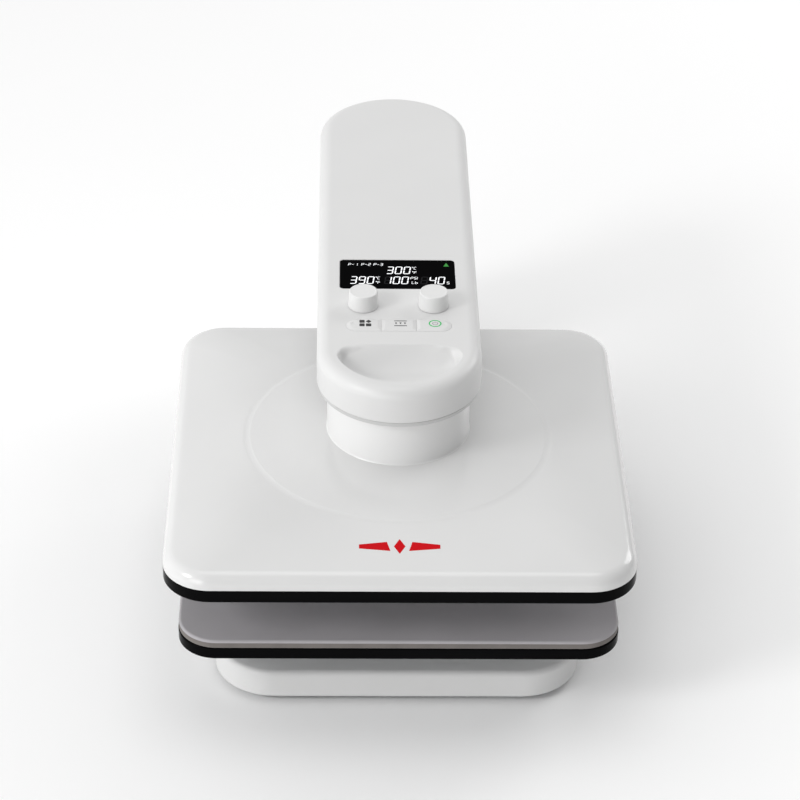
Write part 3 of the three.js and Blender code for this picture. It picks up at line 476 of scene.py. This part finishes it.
def add_lower_platen():
    side = RIM_HIGH.x - RIM_LOW.x
    low, high = RIM_LOW.z, RIM_HIGH.z
    rim = Body().tube(square(side, LOWER_CORNER), [
        (0, low, 1.4), (0, high, 1), (10, high, 0.4), (10, low + 2, 0.3), (18, low + 2, 0.3),
        (18, low, 0.5)])
    piece("lower_platen_rim", rim, "lower_rim", "gloss_black")

    low, high = span("lower_platen")
    platen = Body().solid(square(high.x - low.x, LOWER_CORNER - 10.3), [
        (30, low.z, 0), (0, low.z, 0.8), (0, high.z, 0.8), (30, high.z, 0)])
    piece("lower_platen_plate", platen, "lower_platen", "aluminium")

    pad_side = PAD_HIGH.x - PAD_LOW.x
    pad = Body()
    rings = pad.loft(square(pad_side, LOWER_CORNER), rounded([
        (6, PAD_LOW.z, 0), (0.4, PAD_LOW.z, 0.8), (0, PAD_HIGH.z, 2.2), (30, PAD_HIGH.z, 0)], steps=8))
    pad.cap(rings[0])
    pad.cap(rings[-1])
    obj = piece("silicone_mat", pad, "silicone_pad", "silicone")
    # A thin dark skin just outside the pad's side: painted reflection of a warm tone along its lower part
    low, high = PAD_LOW.z + 0.8, PAD_HIGH.z - 2.6
    sponge = Body().tube(square(pad_side, LOWER_CORNER), [
        (0.3, low, 0), (-0.05, low, 0), (-0.05, high, 0), (0.3, high, 0)])
    piece("mat_painted_reflection_band", sponge, "silicone_pad", "sponge", replaces=False)


# ---- rear column ------------------------------------------------------------------------------

def add_column():
    low, high = COLUMN_LOW.z, COLUMN_HIGH.z
    wall = 3
    radius = NECK_RADIUS
    sleeve = Body().tube(circle(radius, 0, COLUMN_Y, 128), [
        (0, low, 0.5), (0, high, 1.5), (radius - 40, high, 1), (radius - 40, high - wall, 1),
        (wall, high - wall, 1), (wall, low, 0.5)]).mesh("sleeve")
    back = COLUMN_HIGH.y
    half, bottom, top = 36, 48, 128
    upright = lambda x, y, z: Vector((x, z, y))
    outline = block_outline(-half, half, bottom, top, 6)
    panel = Body(upright).solid(outline, [
        (0, COLUMN_Y + 40, 0), (0, back, 2.5), (20, back, 0)]).mesh("panel")
    core = Body().solid(circle(radius - wall, 0, COLUMN_Y, 128), [
        (0, low - 1, 0), (0, high - wall - 1, 0)]).mesh("core")
    hollow = Body(upright).solid(block_outline(-half + wall, half - wall, bottom + wall, top - wall, 4), [
        (0, COLUMN_Y + 20, 0), (0, back - wall, 0)]).mesh("hollow")
    cover = boolean(boolean(sleeve, panel, "UNION"), core, "DIFFERENCE")
    cover = boolean(cover, hollow, "DIFFERENCE")
    for node, half_width, half_height in (("power_inlet", 14.2, 10.4), ("switch_bezel", 10.2, 14.2)):
        middle = sum((corner.z for corner in span(node)), 0) / 2
        opening = Body(upright).solid(
            block_outline(-half_width, half_width, middle - half_height, middle + half_height, 1), [
                (0, COLUMN_Y + 30, 0), (0, back + 1, 0)]).mesh("opening")
        cover = boolean(cover, opening, "DIFFERENCE")
    piece("column_casing", cover, "column_cover", "satin_white", sharp=30)


def socket_body(node, flange, throat, recess, depth):
    """A moulded fitting in the rear panel: a flange, a body behind it and a recess in its face."""
    low, high = span(node)
    middle = (low.z + high.z) / 2
    back = COLUMN_HIGH.y + 0.3
    face = high.y
    body = Body(lambda x, y, z: Vector((x, z, y + middle)))
    rear = body.ring(throat(0), low.y)
    neck = body.ring(throat(0), back)
    edge = body.loft(flange, rounded([
        (0, back, 0), (0, face, 0.9), (3, face, 0)]))
    inner = body.loft(recess, rounded([
        (0, face, 0), (0.6, face - 0.6, 0.2), (0.6, face - depth, 0)]))
    body.cap(rear)
    body.band(rear, neck)
    body.cap(edge[0], neck)
    body.cap(edge[-1], inner[0])
    body.cap(inner[-1])
    return body, middle, face


def inlet_outline(inset):
    """The mains socket's hollow: a rectangle with its two upper corners cut off."""
    x, low, high, cut = 12 - inset, -8.2 + inset, 8.2 - inset, 5
    return [(x, low), (x, high - cut), (x - cut, high), (-x + cut, high), (-x, high - cut), (-x, low)]


def add_power_fittings():
    body, middle, face = socket_body(
        "power_inlet", block_outline(-24, 24, -14, 14, 3), block_outline(-13.8, 13.8, -10, 10, 1),
        inlet_outline, 16)
    piece("mains_inlet", body, "power_inlet", "dark_plastic")
    pins = Body(lambda x, y, z: Vector((x, z, y + middle)))
    for x, y in ((-7, -3.5), (0, 0), (7, -3.5)):
        pins.solid(block_outline(x - 1, x + 1, y - 2, y + 2, 0.3, 3), [
            (0, face - 15.8, 0), (0, face - 3, 0.8), (0.9, face - 3, 0)])
    piece("inlet_pins", pins, "power_inlet", "steel", replaces=False)

    body, middle, face = socket_body(
        "switch_bezel", block_outline(-12.5, 12.5, -17, 17, 2), block_outline(-9.8, 9.8, -13.8, 13.8, 1),
        block_outline(-8.4, 8.4, -13, 13, 1), 16)
    piece("switch_frame", body, "switch_bezel", "dark_plastic")
    add_rocker(joint_place("rocker_tilt"))


def rocker_outline(inset):
    """The rocker from its side: a round body whose outer face is a shallow V."""
    reach = 12 - inset
    corner = math.degrees(math.acos((7.4 - inset) / reach))
    lip = math.degrees(math.asin(6 / reach))
    lower = arc(0, 0, reach, -corner, -90 - lip, 10)
    upper = arc(0, 0, reach, 90 + lip, corner, 10)
    return [(5 - inset, 0), *lower, *upper]


def add_rocker(pivot):
    tilt = Matrix.Rotation(math.radians(10), 3, "X")

    def place(x, y, z):
        return pivot + tilt @ Vector((z, x, y))
    half = 7.6
    body = Body(place).solid(rocker_outline, [
        (1.5, -half, 0), (0, -half, 0.6), (0, half, 0.6), (1.5, half, 0)])
    piece("switch_rocker", body, "power_rocker", "dark_plastic", sharp=40)


# ---- swing arm --------------------------------------------------------------------------------

def smooth_step(value):
    value = min(max(value, 0.0), 1.0)
    return value * value * (3 - 2 * value)


def grip_depth(x, y, radius, crease):
    """How far the grip lies below the arm's top: steep round the front, a long slope at the back."""
    corner = grip_corner_centre(radius, crease)
    reach = Vector((abs(x), y))
    off_corner = reach - corner
    if off_corner.x <= 0:
        edge = min(radius - reach.length, math.hypot(off_corner.x, crease - y))
    elif off_corner.x * corner.y < off_corner.y * corner.x:
        edge = GRIP_CORNER - off_corner.length
    else:
        edge = radius - reach.length
    slope = math.sin(min(max((crease - y) / GRIP_BACK_SLOPE, 0), 1) * math.pi / 2)
    bowl = 1 - (1 - min(max(edge / GRIP_BOWL, 0), 1)) ** 2
    share = GRIP_WALL_SHARE + (1 - GRIP_WALL_SHARE) * bowl
    return GRIP_DEPTH * smooth_step(edge / GRIP_WALL) * share * slope


def grip_surface(body, top, grow):
    """The grip's scooped surface; returns the ring that joins it to the flat round it."""
    radius, crease = GRIP_RADIUS + grow, GRIP_CREASE + grow
    rim = half_round(radius, crease)
    focus = Vector((0, -32))
    shares = [1 - (i / 36) ** 1.6 for i in range(36)]
    rings = []
    for share in shares:
        ring = []
        for x, y in rim:
            px = focus.x + (x - focus.x) * share
            py = focus.y + (y - focus.y) * share
            ring.append((px, py, top - grip_depth(px, py, radius, crease)))
        rings.append(body.ring(ring, top))
    body.join(rings)
    body.cap(rings[-1])
    return rings[0]


def key_row():
    low, high = span("mode_key")[0], span("power_key")[1]
    return low.x - 0.3, high.x + 0.3, low.y - 0.3, high.y + 0.3


def add_arm_casing():
    seam = ARM_LOW.z
    wall = 2.6
    outline = stadium(ARM_RADIUS, 0, COLUMN_Y)
    body = Body()
    outside = body.loft(outline, rounded([
        (0.5, seam - 0.1, 0), (0, seam + 0.4, 0.3), (0, ARM_TOP, ARM_FILLET),
        (ARM_FILLET + 0.2, ARM_TOP, 0)], steps=12))
    inside = body.loft(outline, rounded([
        (wall, seam, 0), (wall, ARM_TOP - wall, ARM_FILLET - wall),
        (ARM_FILLET + 0.2, ARM_TOP - wall, 0)], steps=6))
    body.band(outside[0], inside[0])

    left, right, front, back = key_row()
    lens = block_outline(LENS_LOW.x - 0.3, LENS_HIGH.x + 0.3, LENS_LOW.y - 0.3, LENS_HIGH.y + 0.3, 4)
    keys = block_outline(left, right, front, back, (back - front) / 2 - 0.01, 16)
    openings = [(lens, 0.9), (keys, 0.15)]
    for side in ("left", "right"):
        x, y, _ = joint_place(side + "_knob_turn")
        openings.append((circle(4.5, x, y, 32), 0.3))
    holes_above, holes_below = [], []
    for shape, edge in openings:
        rings = body.loft(shape, rounded([
            (-edge - 0.2, ARM_TOP, 0), (0, ARM_TOP, edge), (0, ARM_TOP - wall, 0)]))
        holes_above.append(rings[0])
        holes_below.append(rings[-1])
    holes_above.append(grip_surface(body, ARM_TOP, 0))
    holes_below.append(grip_surface(body, ARM_TOP - wall, 1.5))
    body.cap(outside[-1], *holes_above)
    body.cap(inside[-1], *holes_below)
    piece("arm_casing", body, "arm_upper_shell", "satin_white", sharp=50)


def cross_outline(x, y, reach, half):
    corners = ((reach, half), (half, half), (half, reach))
    points = []
    for turn in range(4):
        spin = Matrix.Rotation(math.radians(90 * turn), 2)
        points += [tuple(spin @ Vector(corner) + Vector((x, y))) for corner in corners]
    return lambda inset: points


def add_arm_underside():
    low, high = COVER_LOW.z, COVER_HIGH.z
    screws = [f"cover_screw_{i}" for i in range(1, 5)]
    outline = stadium(ARM_RADIUS, 0, COLUMN_Y)
    body = Body()
    outside = body.loft(outline, rounded([
        (9, low, 0), (3.6, low - 0.8, 0.8), (1.3, low - 0.8, 0.6), (0.3, high, 0.3), (6, high, 0)]))
    neck = circle(NECK_RADIUS + 0.5)
    hub = circle(52, 0, COLUMN_Y)
    holes = [neck, hub]
    for node in screws:
        centre = sum(span(node), Vector()) / 2
        holes.append(circle(2.0, centre.x, centre.y, 24))
    lower = [body.ring(hole(0), low) for hole in holes]
    upper = [body.ring(hole(0), high) for hole in holes]
    body.cap(outside[0], *lower)
    body.cap(outside[-1], *upper)
    for below, above in zip(lower, upper):
        body.band(below, above)
    # The bottom cover gets the darker copy of the white plastic: painted shade
    piece("arm_bottom_cover", body, "arm_lower_cover", "painted_shade_white")

    for node in screws:
        bottom, top = span(node)
        centre = (bottom + top) / 2
        x, y = centre.x, centre.y
        screw = Body()
        head = screw.loft(circle(3.5, x, y, 48), rounded([
            (1.4, bottom.z, 0), (0.4, bottom.z, 0.5), (0, bottom.z + 1.9, 0.2), (1.8, bottom.z + 1.9, 0)]))
        shank = screw.loft(circle(1.7, x, y, 48), [(0, bottom.z + 1.9), (0, top.z - 1), (0.8, top.z)])
        slot = screw.loft(cross_outline(x, y, 1.8, 0.45), [(0, bottom.z), (0, bottom.z + 1.2)])
        screw.cap(head[0], slot[0])
        screw.cap(slot[-1])
        screw.cap(head[-1], shank[0])
        screw.cap(shank[-1])
        piece(node.replace("cover", "underside"), screw, node, "steel")


def add_neck():
    inner = 4
    foot = HOUSING_HIGH.z + 0.03
    sleeve = Body().tube(circle(NECK_RADIUS, steps=128), [
        (0, NECK_LOW.z, 0.8), (0, foot, 0), (-0.8, foot, 0), (0, foot + 1, 0.6), (0, NECK_HIGH.z, 0.4),
        (inner, NECK_HIGH.z, 0.4), (inner, NECK_LOW.z, 0.4)])
    # The neck gets a paler copy of the white plastic: painted light
    piece("neck_cover", sleeve, "neck_sleeve", "painted_light_white")


# ---- controls ---------------------------------------------------------------------------------

def add_lens():
    outline = block_outline(LENS_LOW.x, LENS_HIGH.x, LENS_LOW.y, LENS_HIGH.y, 3.7)
    lens = Body().solid(outline, [
        (1, LENS_LOW.z, 0), (0, LENS_LOW.z, 0.2), (0, LENS_HIGH.z, 0.5), (3, LENS_HIGH.z, 0)])
    piece("display_window", lens, "display_lens", "display_glass")


SEGMENTS = {
    "0": "abcdef", "1": "bc", "2": "abdeg", "3": "abcdg", "4": "bcfg", "5": "acdfg", "8": "abcdefg",
    "9": "abcdfg", "-": "g", "C": "adef", "E": "adefg", "F": "aefg", "I": "ef", "L": "def", "P": "abefg",
    "S": "acdfg", "b": "cdefg",
}


def segment_points(name, width, height, thick):
    """The corners of one display segment, in the digit's own frame."""
    half = thick / 2
    gap = thick * 0.12
    rows = {"a": height - half, "g": height / 2, "d": half}
    if name in rows:
        y = rows[name]
        left, right = half + gap, width - half - gap
        return [(left, y), (left + half, y - half), (right - half, y - half),
                (right, y), (right - half, y + half), (left + half, y + half)]
    x = width - half if name in "bc" else half
    bottom, top = (height / 2 + gap, height - half - gap) if name in "bf" else (half + gap, height / 2 - gap)
    return [(x, bottom), (x + half, bottom + half), (x + half, top - half),
            (x, top), (x - half, top - half), (x - half, bottom + half)]


def draw_text(body, text, left, front, figure, level):
    """Slanted seven-segment figures as thin raised prisms; figure is (width, height, pitch, stroke)."""
    width, height, pitch, stroke = figure
    slant = 0.12
    for place, character in enumerate(text):
        for name in SEGMENTS[character]:
            points = [(left + place * pitch + x + slant * y, front + y)
                      for x, y in segment_points(name, width, height, stroke)]
            body.solid(lambda inset: points, [(0, level - 0.1, 0), (0, level, 0)])


def draw_bar(body, left, right, front, back, corner, low, high):
    body.solid(block_outline(left, right, front, back, corner, 4), [(0, low, 0), (0, high, 0)])


LARGE_FIGURE = (6.5, 13.4, 7.9, 1.15)     # width, height, pitch and stroke
SMALL_FIGURE = (2.6, 4.6, 3.1, 0.52)
UPPER_ROW = 126.4
LOWER_ROW = 108.3


def add_degrees(body, left, front, level):
    """The two temperature units, one over the other, each with its degree mark."""
    for figure, rise in (("C", 8.4), ("F", 0.4)):
        draw_text(body, figure, left + 2, front + rise, SMALL_FIGURE, level)
        mark = front + rise + 3.2
        draw_bar(body, left + 0.7, left + 2, mark, mark + 1.3, 0.6, level - 0.1, level)


def add_display_figures():
    level = LENS_HIGH.z + 0.06
    lit = Body()
    draw_text(lit, "300", -10.9, UPPER_ROW, LARGE_FIGURE, level)
    draw_text(lit, "390", -44.9, LOWER_ROW, LARGE_FIGURE, level)
    draw_text(lit, "100", -13, LOWER_ROW, LARGE_FIGURE, level)
    draw_text(lit, "40", 28.5, LOWER_ROW, LARGE_FIGURE, level)
    add_degrees(lit, 13, UPPER_ROW, level)
    add_degrees(lit, -21, LOWER_ROW, level)
    draw_text(lit, "PSI", 11.6, LOWER_ROW + 8.4, SMALL_FIGURE, level)
    draw_text(lit, "Lb", 12.6, LOWER_ROW + 0.4, SMALL_FIGURE, level)
    draw_text(lit, "5", 45, LOWER_ROW + 0.2, SMALL_FIGURE, level)
    for number, left in enumerate((-46, -33.8, -22.4)):
        draw_text(lit, f"P-{number + 1}", left, 141.2, SMALL_FIGURE, level)
    piece("display_figures", lit, "display_lens", "digit_white", replaces=False)

    unlit = Body()
    for figure, left in (("E", -13), ("8", 20.6)):
        draw_text(unlit, figure, left, LOWER_ROW, LARGE_FIGURE, level - 0.02)
    piece("display_unlit_figures", unlit, "display_lens", "digit_off", replaces=False)

    lamp = Body().solid(lambda inset: [(43, 140.6), (48.2, 140.6), (45.6, 147)], [
        (0, level - 0.1, 0), (0, level, 0)])
    piece("ready_lamp", lamp, "display_lens", "lamp_green", replaces=False)


def add_knobs():
    for side in ("left", "right"):
        node = "knob_" + side
        x, y, _ = joint_place(side + "_knob_turn")
        low, high = span(node)
        foot = high.x - x
        knob = Body()
        bore = foot - 3.4
        outside = knob.loft(circle(foot, x, y, 72), rounded([
            (bore, low.z - 0.25, 0), (0, low.z - 0.25, 0.1), (0, low.z + 1.2, 0.8), (0.9, high.z, 1.2),
            (2.4, high.z, 0.5), (3.0, high.z - 0.2, 0.4), (foot - 1, high.z - 0.2, 0)], steps=6))
        inner = knob.loft(circle(3.4, x, y, 72), [(0, low.z - 0.25), (0, high.z - 4)])
        knob.cap(outside[-1])
        knob.cap(outside[0], inner[0])
        knob.cap(inner[-1])
        # The dials get a paler copy of the white plastic: painted light
        piece(side + "_dial", knob, node, "dial_white")


def add_keys():
    front, back = key_row()[2:]
    half = (back - front) / 2
    grow = 0.2                # the caps fill their openings more closely than the CAD keys do
    shoulder = 3.2
    top = ARM_TOP + 1.2
    rows = {"mode": (half - 0.1, 0.5), "pressure": (0.5, 0.5), "power": (0.5, half - 0.1)}
    for name, corners in rows.items():
        node = name + "_key"
        low, high = span(node)
        outline = block_outline(low.x - grow, high.x + grow, low.y - grow, high.y + grow, corners, 12)
        key = Body()
        rings = key.loft(outline, rounded([
            (1, low.z, 0), (0, low.z, 0.3), (0, ARM_TOP + 0.1, 0.15), (shoulder, top, 4.5),
            (shoulder + 1.2, top, 0)], steps=8))
        key.cap(rings[0])
        dimple_x = {"mode": low.x + 6.8, "power": high.x - 6.8}.get(name)
        middle = (front + back) / 2 + 1.4
        if dimple_x is None:
            key.cap(rings[-1])
        else:
            dimple = key.loft(circle(2.3, dimple_x, middle, 32), [
                (0, top), (0.35, top - 0.18), (1.2, top - 0.32)])
            key.cap(rings[-1], dimple[0])
            key.cap(dimple[-1])
        piece(name + "_button_cap", key, node, "satin_white")
    add_key_marks(top, (front + back) / 2 + 1.7)


def ring_mark(body, x, y, inner, outer, start, end, low, high):
    """An arc-shaped mark, or a whole ring where start and end are a turn apart."""
    if end - start >= 360:
        body.tube(circle(outer, x, y, 64), [
            (0, low, 0), (0, high, 0), (outer - inner, high, 0), (outer - inner, low, 0)])
        return
    points = arc(x, y, outer, start, end, 24) + arc(x, y, inner, end, start, 24)
    body.solid(lambda inset: points, [(0, low, 0), (0, high, 0)])


def add_key_marks(top, y):
    low, high = top - 0.1, top + 0.05
    grid = Body()
    x = -30.3
    for side in (-1, 1):
        for row in (-1, 1):
            cx, cy = x + side * 2.95, y + row * 3
            if (side, row) == (1, 1):
                diamond = [(cx - 2.6, cy), (cx, cy - 2.7), (cx + 2.6, cy), (cx, cy + 2.7)]
                grid.solid(lambda inset: diamond, [(0, low, 0), (0, high, 0)])
            else:
                draw_bar(grid, cx - 2.35, cx + 2.35, cy - 2.4, cy + 2.4, 0.7, low, high)
    piece("mode_mark", grid, "mode_key", "print_dark", replaces=False)

    press = Body()
    x = 1.4
    for row in (-1, 1):
        draw_bar(press, x - 5.7, x + 5.7, y + row * 4.1 - 0.55, y + row * 4.1 + 0.55, 0.3, low, high)
    for column in (-4, 0, 4):
        arrow = [(x + column - 1, y + 1.3), (x + column, y - 1.7), (x + column + 1, y + 1.3)]
        press.solid(lambda inset: arrow, [(0, low, 0), (0, high, 0)])
    piece("pressure_mark", press, "pressure_key", "print_dark", replaces=False)

    x = 32.6
    halo = Body()
    ring_mark(halo, x, y, 4.6, 5.8, 0, 360, low, high)
    piece("power_ring_mark", halo, "power_key", "print_green", replaces=False)
    symbol = Body()
    ring_mark(symbol, x, y, 1.9, 2.7, 125, 415, low, high)
    draw_bar(symbol, x - 0.4, x + 0.4, y + 0.6, y + 3, 0.2, low, high)
    piece("power_mark", symbol, "power_key", "print_grey", replaces=False)


# ---- pressing head ----------------------------------------------------------------------------

ROLL_RADIUS = 12.5
CROWN_ANGLE = 10              # slope, in degrees, where the housing's rolled edge meets its crown
DISC_SLOPE = 7                # width of the hollow slope round the raised disc
DISC_RISE = 1
BADGE_CENTRE = (-0.8, -167)


def square_ring(half, corner, side_steps=22, corner_steps=14):
    """A rounded square with points along its sides too, so that it can turn into a circle."""
    points = []
    reach = half - corner
    for turn in range(4):
        spin = Matrix.Rotation(math.radians(90 * turn), 2)
        side = [(half, -reach + 2 * reach * i / side_steps) for i in range(side_steps)]
        bend = arc(reach, reach, corner, 0, 90, corner_steps)[:-1]
        points += [spin @ Vector(p) for p in side + bend]
    return points


def crown_rings(bottom, roll_start, disc_foot, offset=0.0):
    """Rings of the housing from its lower edge, over the roll, up to the raised disc's foot."""
    half = HOUSING_HIGH.x - offset
    corner = HEAD_CORNER - offset
    roll = ROLL_RADIUS - offset
    rings = [[(*p, bottom) for p in square_ring(half, corner)]]
    end = math.radians(90 - CROWN_ANGLE)
    for i in range(13):
        angle = end * i / 12
        inset = roll * (1 - math.cos(angle))
        level = roll_start + roll * math.sin(angle)
        rings.append([(*p, level) for p in square_ring(half - inset, corner - inset)])
    edge = rings[-1]
    rise = disc_foot - edge[0][2]
    slope = math.tan(math.radians(CROWN_ANGLE))
    goal = DISC_RADIUS + DISC_SLOPE - offset
    for i in range(1, 21):
        share = i / 20
        ring = []
        for x, y, z in edge:
            distance = math.hypot(x, y)
            target = Vector((x, y)) * (goal / distance)
            power = max(1.0, slope * (distance - goal) / rise)
            level = z + rise * (1 - (1 - share) ** power)
            ring.append((*Vector((x, y)).lerp(target, share), level))
        rings.append(ring)
    return rings


def add_housing():
    bottom = HOUSING_LOW.z
    top = HOUSING_HIGH.z
    wall = 2.6
    mouth = NECK_RADIUS + 0.06
    roll_start = bottom + 2.3
    disc_foot = bottom + 24.7
    body = Body()
    outer = crown_rings(bottom, roll_start, disc_foot)
    angles = [math.atan2(y, x) for x, y, _ in outer[-1]]

    def turned(radius, level):
        return [(radius * math.cos(a), radius * math.sin(a), level) for a in angles]
    shares = [i / 8 for i in range(8)]
    slope = [(DISC_RADIUS + DISC_SLOPE * (1 - s), disc_foot + DISC_RISE * s ** 2) for s in shares]
    disc = slope + rounded([
        (*slope[-1], 0), (DISC_RADIUS, disc_foot + DISC_RISE, 1.4), (mouth + 0.8, top, 0)], steps=4)[1:]
    disc += [(mouth + 0.2, top - 0.3), (mouth, top - 0.9)]
    outer += [turned(radius, level) for radius, level in disc[1:]]
    inner = crown_rings(bottom, roll_start, disc_foot - wall, wall)
    inner += [turned(mouth, top - wall)]
    outside = [body.ring(ring, 0) for ring in outer]
    inside = [body.ring(ring, 0) for ring in inner]
    body.join(outside)
    body.join(inside)
    body.band(outside[0], inside[0])
    body.band(outside[-1], inside[-1])
    return piece("head_casing", body, "head_housing", "gloss_white", sharp=40)


def add_red_mark(casing):
    """A plain red badge printed on the housing: a lozenge between two tapering bars."""
    graph = bpy.context.evaluated_depsgraph_get()
    surface = BVHTree.FromObject(casing, graph)
    outlines = []
    half, tall = 35, 5.2
    for side in (-1, 1):
        outlines.append([(side * 8, -tall), (side * 11, tall), (side * half, tall * 0.45),
                         (side * half, -tall * 0.45)])
    outlines.append([(0, -8.5), (5, 0), (0, 8.5), (-5, 0)])
    body = Body()
    for corners in outlines:
        add_draped(body, surface, corners, Vector(BADGE_CENTRE))
    piece("housing_badge", body, "head_housing", "print_red", replaces=False)


def add_draped(body, surface, corners, centre, rows=12):
    """A thin printed patch that follows the surface under it; corners are those of a quad."""
    a, b, c, d = (Vector(corner) for corner in corners)
    layers = []
    for lift in (-0.05, 0.06):
        grid = []
        for i in range(rows + 1):
            start, end = a.lerp(d, i / rows), b.lerp(c, i / rows)
            line = []
            for j in range(4):
                flat = centre + start.lerp(end, j / 3)
                origin = Vector((flat.x * MM, flat.y * MM + PLATEN_Y, 0.4))
                hit = surface.ray_cast(origin, Vector((0, 0, -1)))[0]
                line.append((flat.x, flat.y, hit.z / MM + lift))
            grid.append(body.ring(line, 0))
        layers.append(grid)
    for grid in layers:
        for one, two in zip(grid, grid[1:]):
            for j in range(3):
                body.faces.append((one[j], one[j + 1], two[j + 1], two[j]))
    below, above = layers
    for side in (0, -1):
        for i in range(rows):
            body.faces.append((below[i][side], below[i + 1][side], above[i + 1][side], above[i][side]))
        for j in range(3):
            body.faces.append((below[side][j], below[side][j + 1], above[side][j + 1], above[side][j]))


def add_head_rim():
    side = BAND_HIGH.x - BAND_LOW.x
    heater = HEATER_HIGH.x - HEATER_LOW.x
    gap = (side - heater - 1) / 2
    low, high = BAND_LOW.z, BAND_HIGH.z
    band = Body().tube(square(side, HEAD_CORNER, 20), [
        (0, low, 1.6), (0, high, 0.6), (4, high, 0.4), (4, low + 3, 0.4), (gap, low + 3, 0.3),
        (gap, low, 0.5)])
    piece("head_skirt", band, "head_rim", "gloss_black")
    low, high = HEATER_LOW.z, HEATER_HIGH.z
    platen = Body().solid(square(heater, 26), [
        (30, low, 0), (0, low, 1), (0, high, 0.6), (30, high, 0)])
    piece("heated_plate", platen, "heating_platen", "aluminium")


def add_ram():
    low, high = span("ram_tube")
    flange = high.x
    radius = 56
    side = flange - radius
    tube = Body().tube(circle(flange, steps=128), [
        (0, low.z, 0.4), (0, low.z + 4.5, 0.5), (side, low.z + 4.5, 0.6), (side, high.z, 0.8),
        (side + 6, high.z, 0.5), (side + 6, low.z, 0.4)])
    keyway = Body().solid(block_outline(-4, 4, radius - 3, radius + 5, 0.3), [
        (0, low.z + 5.5, 0), (0, high.z + 1, 0)])
    column = boolean(tube.mesh("tube"), keyway.mesh("keyway"), "DIFFERENCE")
    piece("ram_column", column, "ram_tube", "steel")
    low, high = span("dust_ring")
    bore = high.x - radius - 1
    ring = Body().tube(circle(high.x, steps=128), [
        (0, low.z, 0.4), (0, high.z, 0.8), (bore, high.z, 0.6), (bore, low.z, 0.4)])
    piece("dust_seal", ring, "dust_ring", "dark_plastic")


# ---- studio -----------------------------------------------------------------------------------

VIEW_AZIMUTH = -1.4708        # degrees
VIEW_ELEVATION = 33.2825
VIEW_ROLL = 1.1019
VIEW_DISTANCE = 2531.4        # millimetres
VIEW_TARGET = (2.2, 34.0, 194.7)
FOCAL_SHARE = 3.4542          # focal length as a share of the sensor width


def view_axes():
    azimuth, elevation = math.radians(VIEW_AZIMUTH), math.radians(VIEW_ELEVATION)
    back = Vector((math.sin(azimuth) * math.cos(elevation), -math.cos(azimuth) * math.cos(elevation),
                   math.sin(elevation)))
    right = (-back).cross(Vector((0, 0, 1))).normalized()
    up = back.cross(right)
    roll = math.radians(VIEW_ROLL)
    level_right = right * math.cos(roll) + up * math.sin(roll)
    level_up = up * math.cos(roll) - right * math.sin(roll)
    return level_right, level_up, back


def add_camera():
    data = bpy.data.cameras.new("camera")
    camera = bpy.data.objects.new("camera", data)
    bpy.context.scene.collection.objects.link(camera)
    data.sensor_width = 36
    data.lens = 36 * FOCAL_SHARE
    data.clip_end = 50
    right, up, back = view_axes()
    target = Vector(VIEW_TARGET) * MM + Vector((0, PLATEN_Y, 0))
    rotation = Matrix((right, up, back)).transposed().to_4x4()
    camera.matrix_world = Matrix.Translation(target + back * VIEW_DISTANCE * MM) @ rotation
    bpy.context.scene.camera = camera


LIGHT_DISTANCE = 4            # metres


def add_light(name, direction, size, power):
    data = bpy.data.lights.new(name, "AREA")
    data.shape = "DISK"
    data.size = size
    data.energy = power
    light = bpy.data.objects.new(name, data)
    bpy.context.scene.collection.objects.link(light)
    aim = Vector((0, PLATEN_Y + 0.1, 0.15))
    toward = Vector(direction).normalized()
    light.location = aim + toward * LIGHT_DISTANCE
    light.rotation_mode = "QUATERNION"
    light.rotation_quaternion = toward.to_track_quat("Z", "Y")


SKY_SIDE = Vector((-0.89, 0.46, 0))    # the sky is brightest on this side
SKY_DIM = 0.17
SKY_BRIGHT = 1.1


def add_sky():
    """A white sky that fades from the far left of the machine round to its near right."""
    world = bpy.data.worlds.new("studio")
    world.use_nodes = True
    nodes, links = world.node_tree.nodes, world.node_tree.links
    place = nodes.new("ShaderNodeTexCoord")
    facing = nodes.new("ShaderNodeVectorMath")
    facing.operation = "DOT_PRODUCT"
    facing.inputs[1].default_value = SKY_SIDE
    level = nodes.new("ShaderNodeMapRange")
    level.inputs["From Min"].default_value = -1
    level.inputs["To Min"].default_value = SKY_DIM
    level.inputs["To Max"].default_value = SKY_BRIGHT
    links.new(place.outputs["Generated"], facing.inputs[0])
    links.new(facing.outputs["Value"], level.inputs["Value"])
    background = nodes["Background"]
    background.inputs["Color"].default_value = (1, 1, 1, 1)
    links.new(level.outputs["Result"], background.inputs["Strength"])
    bpy.context.scene.world = world


def add_floor():
    reach = 9
    floor = bpy.data.meshes.new("floor")
    floor.from_pydata([(-reach, -reach, 0), (reach, -reach, 0), (reach, reach, 0), (-reach, reach, 0)], [],
                      [(0, 1, 2, 3)])
    floor_object = bpy.data.objects.new("floor", floor)
    bpy.context.scene.collection.objects.link(floor_object)
    finish = procedural("floor", (0.97, 0.97, 0.97), 0.7, tint=0.005, tint_scale=1, grain=0.01)
    floor.materials.append(finish)


def add_studio():
    bpy.context.scene.view_settings.view_transform = "Standard"
    add_sky()
    add_floor()
    add_light("key", (-21, -13, 15.5), 1.2, 41)
    add_light("overhead", (0, 0, 1), 2.5, 24)
    add_light("front_fill", (-12, -20, 4.5), 2, 29)
    add_light("back_edge", (14, 12, 10), 2, 38)


# ---- everything -------------------------------------------------------------------------------

FINISHES = make_finishes()
finish_carried_nodes()
add_camera()
add_base()
add_feet()
add_pedestal()
add_lower_platen()
add_column()
add_power_fittings()
add_arm_casing()
add_arm_underside()
add_neck()
add_lens()
add_display_figures()
add_knobs()
add_keys()
housing = add_housing()
add_red_mark(housing)
add_head_rim()
add_ram()
add_studio()
